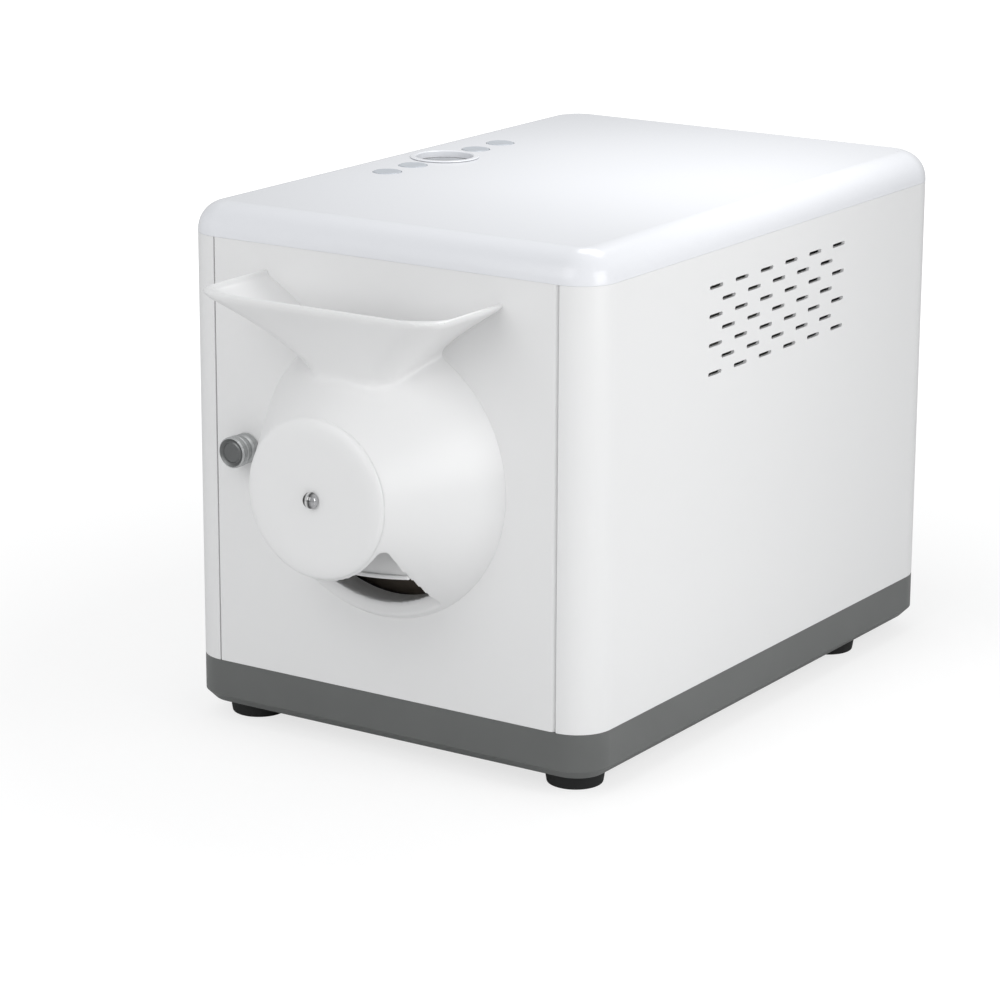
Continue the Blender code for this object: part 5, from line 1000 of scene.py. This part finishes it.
def front_cap():
    front = FACE_Y - CAP_OUT
    back = FACE_Y - CAP_BACK
    back_r = cone_radius(CAP_BACK)
    flat_r = back_r - CAP_ROLL_IN
    section = [(CAP_BORE_R, back), (CAP_BORE_R, front)]
    for i in range(CAP_ROLL_STEPS + 1):
        turn = math.pi / 2 * i / CAP_ROLL_STEPS
        section.append((flat_r + CAP_ROLL_IN * math.sin(turn), back + (front - back) * math.cos(turn)))
    section.append((CAP_BORE_R, back))
    piece = turned("front_cap_skin", section, (0, FACE_Y, AXIS_Z), "Y", CONE_STEPS)
    finish(piece, "door", CAST_COAT, ["front_cap"])


def cap_nut():
    """An acorn nut: a short round skirt, then a dome."""
    seat = FACE_Y - NUT_SEAT
    skirt = seat - NUT_SKIRT
    dome = NUT_TOP - NUT_SEAT - NUT_SKIRT
    section = [(0, seat), (NUT_R - NUT_EDGE, seat), (NUT_R, seat - NUT_EDGE), (NUT_R, skirt)]
    for i in range(1, NUT_DOME_STEPS):
        angle = math.pi / 2 * i / NUT_DOME_STEPS
        section.append((NUT_R * math.cos(angle) * NUT_DOME_SHARE, skirt - dome * math.sin(angle)))
    section.append((0, skirt - dome))
    piece = turned("cap_nut_skin", section, (0, FACE_Y, AXIS_Z), "Y", HOLE_STEPS)
    finish(piece, "door", mirror_streak(), ["cap_nut"])


def mirror_streak():
    """Polished chrome seen small: dark at both flanks of the dome and white in a streak between."""
    paint, nodes, links, shader = finish_nodes("chrome_streak", (0.5, 0.5, 0.5), 0.08, metallic=1.0)
    stops = (
        (0.30, (0.03, 0.03, 0.03)),
        (0.45, (0.95, 0.95, 0.95)),
        (0.62, (0.05, 0.05, 0.05)),
        (0.80, (0.50, 0.50, 0.51)),
    )
    coloured_along(nodes, links, shader, "X", -NUT_R, NUT_R, stops)
    drift(nodes, links, shader, grain(nodes, links, 300), 0.06, 0.11)
    return paint


front_cap()
cap_nut()

# %% [markdown]
# ## Spout baffle
#
# Behind the notch a small plate turns the falling beans downwards. It is a thin block whose lower
# edge is divided and sagged in a parabola, and a thicker strip along it gives the rolled hem that
# catches the light. A bend modifier would curve the whole plate, and here only its edge is curved.

# %% Spout baffle
BAFFLE_OUT = 0.031
BAFFLE_T = 0.0012
BAFFLE_HEM = 0.0024
BAFFLE_LOW_Z = 0.1145
BAFFLE_TOP_Z = 0.140
BAFFLE_BOW = 0.003
BAFFLE_CUTS = 24
HEM_EDGE_R = 0.0007
HEM_EDGE_STEPS = 4


def bowed(name, half, out, thick, low_z, high_z, both):
    """A plate whose lower edge, or both edges, sag in a shallow curve."""
    piece = block(name, (-half, FACE_Y - out - thick, low_z), (half, FACE_Y - out, high_z))
    pick(piece, "EDGE", lambda e: width_of(e) > half)
    bpy.ops.mesh.subdivide(number_cuts=BAFFLE_CUTS)
    done()
    for vert in piece.data.vertices:
        if both or vert.co.z < (low_z + high_z) / 2:
            vert.co.z -= BAFFLE_BOW * (1 - (vert.co.x / half) ** 2)
    return piece


def spout_baffle():
    half = SPOUT_HALF_W - GAP
    plate = bowed("spout_baffle_skin", half, BAFFLE_OUT, BAFFLE_T, BAFFLE_LOW_Z, BAFFLE_TOP_Z, False)
    hem = bowed("hem", half, BAFFLE_OUT + BAFFLE_T / 2, BAFFLE_HEM - BAFFLE_T / 2, BAFFLE_LOW_Z,
                BAFFLE_LOW_Z + BAFFLE_HEM, True)
    pick(hem, "EDGE", lambda e: width_of(e) > MERGE
         and max(v.co.y for v in e.verts) < FACE_Y - BAFFLE_OUT - BAFFLE_T)
    round_picked(HEM_EDGE_R, HEM_EDGE_STEPS)
    carve(plate, hem, "UNION")
    finish(plate, "door", CAST_COAT, ["spout_baffle"])


spout_baffle()

# %% [markdown]
# ## Latch knob
#
# The knob is turned from bar: a sunk face with a raised ring, a groove round its head, a neck and
# a collar at the door, with a slim spindle through it. A lathe cuts all of that from one profile,
# and so does a spun section here. The face then takes a darker copy of the metal as painted shade,
# and the rim a lighter copy as a painted highlight, each picked by place.

# %% Latch knob
KNOB_R = 0.0085
KNOB_H = 0.014
KNOB_HEAD = 0.0062
KNOB_NECK_R = 0.0072
KNOB_COLLAR_R = 0.0082
KNOB_COLLAR_H = 0.0042
KNOB_SPINDLE_R = 0.003
KNOB_SPINDLE_TIP = 0.0003
KNOB_SPINDLE_TAPER = 0.0011
KNOB_GROOVE = 0.00035
KNOB_GROOVE_PLACES = (0.0026, 0.0023, 0.0019, 0.0016)
KNOB_FACE_SINK = 0.0006
KNOB_FACE_STEP = 0.0010
KNOB_RING_IN = 0.0022
KNOB_RING_STEP = 0.0006
KNOB_RING_SINK = 0.0004
KNOB_RIM = 0.0008
KNOB_HEAD_EDGE = 0.0004
KNOB_HEAD_BACK = 0.0003
KNOB_COLLAR_EDGE = 0.0005
KNOB_COLLAR_BACK = 0.0003
KNOB_FACE_DEPTH = 0.0012


def knob_head_section(face, head):
    """The sunk face, its ring, the rim and the groove round the head, as (radius, place)."""
    ring = KNOB_R - KNOB_RING_IN
    section = [(0, face + KNOB_FACE_SINK), (ring - 2 * KNOB_RING_STEP, face + KNOB_FACE_SINK),
               (ring - KNOB_RING_STEP, face + KNOB_FACE_STEP), (ring, face + KNOB_FACE_STEP),
               (ring + KNOB_RING_STEP, face + KNOB_RING_SINK), (KNOB_R - KNOB_RIM, face),
               (KNOB_R, face + KNOB_RIM)]
    for place, cut in zip(KNOB_GROOVE_PLACES, (0, KNOB_GROOVE, KNOB_GROOVE, 0)):
        section.append((KNOB_R - cut, head - place))
    return section + [(KNOB_R, head - KNOB_HEAD_EDGE), (KNOB_R - KNOB_HEAD_EDGE, head)]


def knob_stem_section(head, tip):
    """The neck, the collar at the door and the spindle through it, as (radius, place)."""
    collar = FACE_Y - KNOB_COLLAR_H - GAP
    seat = FACE_Y - GAP
    return [(KNOB_NECK_R, head + KNOB_HEAD_BACK), (KNOB_NECK_R, collar - KNOB_HEAD_EDGE),
            (KNOB_COLLAR_R - KNOB_COLLAR_EDGE, collar), (KNOB_COLLAR_R, collar + KNOB_COLLAR_EDGE),
            (KNOB_COLLAR_R, seat - KNOB_COLLAR_BACK), (KNOB_COLLAR_R - KNOB_COLLAR_BACK, seat),
            (KNOB_SPINDLE_R, seat), (KNOB_SPINDLE_R, tip - KNOB_SPINDLE_TIP),
            (KNOB_SPINDLE_R - KNOB_SPINDLE_TAPER, tip), (0, tip)]


def latch_knob():
    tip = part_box("latch_knob")[1][1]
    face = FACE_Y - KNOB_H - GAP
    head = face + KNOB_HEAD
    section = knob_head_section(face, head) + knob_stem_section(head, tip)
    piece = turned("latch_knob_skin", section, (KNOB_X, FACE_Y, KNOB_Z), "Y", WIDE_STEPS)
    finish(piece, "latch", KNOB_METAL, ["latch_knob"])
    # The face takes the painted-shade copy of the metal and the rim the painted-highlight copy
    piece.data.materials.append(KNOB_FACE_PAINTED_SHADE)
    piece.data.materials.append(KNOB_RIM_PAINTED_HIGHLIGHT)
    for part in piece.data.polygons:
        radius = math.hypot(part.center.x - KNOB_X, part.center.z - KNOB_Z)
        if part.center.y < face + KNOB_FACE_DEPTH:
            part.material_index = 1 if radius < KNOB_R - KNOB_FACE_DEPTH else 2


latch_knob()

# %% [markdown]
# ## Buttons
#
# Four round keys stand a little proud of the cover. Each has a dished top with a soft rim, a wide
# flange under the cover that keeps it in, and a stem down to its switch. One is spun, and each
# button is a copy of it with its own mesh, moved to the place of its own solid.

# %% Buttons
BUTTON_DISH = 0.0003
BUTTON_DISH_SHARES = ((0, 1), (0.55, 0.8), (0.8, 1 / 3))
BUTTON_STEPS = 72
BUTTON_RIM_PLACES = ((0.0012, 0), (0.0005, 0.00012), (0.00012, 0.0005), (0, 0.001))
BUTTON_FLANGE_T = 0.0012
BUTTON_STEM_R = 0.0025


def button_shape():
    low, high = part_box("button_a")
    top = high[2]
    flange_top = COVER_HIGH[2] - COVER_WALL - GAP
    flange_r = plan_middle("button_a")[1]
    under = flange_top - BUTTON_FLANGE_T
    section = [(BUTTON_R * out, top - BUTTON_DISH * deep) for out, deep in BUTTON_DISH_SHARES]
    section += [(BUTTON_R - inwards, top - down) for inwards, down in BUTTON_RIM_PLACES]
    section += [(BUTTON_R, flange_top), (flange_r, flange_top), (flange_r, under),
                (BUTTON_STEM_R, under), (BUTTON_STEM_R, low[2]), (0, low[2])]
    return turned("button_shape", section, (0, 0, 0), "Z", BUTTON_STEPS)


def push_buttons():
    shape = button_shape()
    for node, body in (("button_a", "button_front"), ("button_b", "button_front_second"),
                       ("button_c", "button_rear_second"), ("button_d", "button_rear")):
        piece = copied(shape, node + "_skin", plan_middle(node)[0])
        finish(piece, body, BUTTON_GREY, [node])
    bpy.data.objects.remove(shape, do_unlink=True)


push_buttons()

# %% [markdown]
# ## Display
#
# A smoked lens lies at the bottom of a white sleeve with a flat ring round it. The sleeve is one
# spun section. The lens keeps its imported solid, and its colour runs from dark to pale across it:
# painted shade at its front and a painted reflection towards its back. The lowest band of the
# sleeve is dark, where the lens's own shade falls on it.

# %% Display
DISPLAY_RING_R = 0.01975
DISPLAY_R = 0.0165
DISPLAY_RING_T = 0.0006
DISPLAY_INNER_ROUND = 0.0005
DISPLAY_OUTER_ROUND = 0.0004
SLEEVE_WALL = 0.0012
LEDGE = 0.002
LEDGE_T = 0.0010
WALL_SHADE = 0.0001
WALL_DARK_H = 0.0013


def lens_shade_and_reflection():
    """Smoked lens: painted shade dark at its front, and a painted reflection paler towards its back."""
    paint, nodes, links, shader = finish_nodes("dial_lens_painted_shade_and_reflection", (0.10, 0.105, 0.11), 0.12)
    # The dark front is painted shade and the pale back a painted reflection
    stops = ((0, (0.10, 0.105, 0.115)), (1, (0.42, 0.43, 0.45)))
    coloured_along(nodes, links, shader, "Y", DISPLAY_Y - DISPLAY_R, DISPLAY_Y + DISPLAY_R, stops)
    drift(nodes, links, shader, grain(nodes, links, 60), 0.10, 0.16)
    return paint


def display_bezel():
    seat = COVER_HIGH[2] + GAP
    top = seat + DISPLAY_RING_T
    foot_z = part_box("display_bezel")[0][2]
    ledge_z = foot_z + LEDGE_T
    dark_top = ledge_z + WALL_DARK_H
    sleeve_r = DISPLAY_R + SLEEVE_WALL
    section = [(DISPLAY_R, ledge_z), (DISPLAY_R, dark_top), (DISPLAY_R, top - DISPLAY_INNER_ROUND),
               (DISPLAY_R + DISPLAY_INNER_ROUND, top), (DISPLAY_RING_R - DISPLAY_INNER_ROUND, top),
               (DISPLAY_RING_R, top - DISPLAY_OUTER_ROUND), (DISPLAY_RING_R, seat),
               (sleeve_r, seat), (sleeve_r, foot_z), (DISPLAY_R - LEDGE, foot_z),
               (DISPLAY_R - LEDGE, ledge_z), (DISPLAY_R, ledge_z)]
    piece = turned("display_bezel_skin", section, (CONTROLS_X, DISPLAY_Y, 0), "Z", RING_STEPS)
    finish(piece, "frame", TOP_WHITE, ["display_bezel"])
    # The sleeve's lowest inner band is painted black as shade
    piece.data.materials.append(SLEEVE_PAINTED_SHADE)
    for part in piece.data.polygons:
        radius = math.hypot(part.center.x - CONTROLS_X, part.center.y - DISPLAY_Y)
        if radius < DISPLAY_R + WALL_SHADE and part.center.z < dark_top:
            part.material_index = 1


display_bezel()
LENS_PAINTED_SHADE_AND_REFLECTION = lens_shade_and_reflection()

# %% [markdown]
# ## The pieces that keep their solids
#
# Everything inside, and the rear's small parts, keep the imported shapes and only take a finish.
# They are seen through the open door or from behind, and their solids are already full ones, so
# a second modelling of them would add nothing.

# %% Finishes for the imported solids
CAD_FINISHES = (
    (WHITE_COAT, ("rear_panel",)),
    (SHEET_STEEL, ("rear_screw_low_left", "rear_screw_low_right", "rear_screw_high_left",
                   "rear_screw_high_right", "chassis_plate", "rear_bulkhead", "hinge_pin_lower",
                   "hinge_pin_upper", "feed_chute", "latch_bar", "motor_bracket",
                   "thermal_cutout", "temperature_probe", "exhaust_duct")),
    # Heat tint on these, darkened further as painted shade for the inside seen through the spout
    (HEAT_TINT_AND_SHADE_STEEL, ("front_bulkhead", "front_bushing", "drum_shell", "drum_vanes",
                   "drum_rear_plate", "chamber_shell")),
    (TURNED_STEEL, ("drum_shaft",)),
    (BRASS, ("shaft_bearing_front", "shaft_bearing_rear")),
    (FIBRE, ("insulation_jacket",)),
    (SILICONE, ("door_gasket",)),
    (GEAR_PLASTIC, ("drum_gear", "motor_pinion")),
    (MOTOR_GREY, ("gear_motor", "fan_motor")),
    (BOARD_GREEN, ("power_board", "control_board")),
    (HEATER_GLAZE, ("heater_left", "heater_right")),
    (INLET_BLACK, ("power_inlet", "switch_frame", "switch_key", "fan_housing", "fan_rotor")),
    (LENS_PAINTED_SHADE_AND_REFLECTION, ("display_lens",)),
)

painted = 0
for look, names in CAD_FINISHES:
    for name in names:
        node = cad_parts[name]
        node.data.materials.clear()
        node.data.materials.append(look)
        painted += 1
print("packed solids painted:", painted)
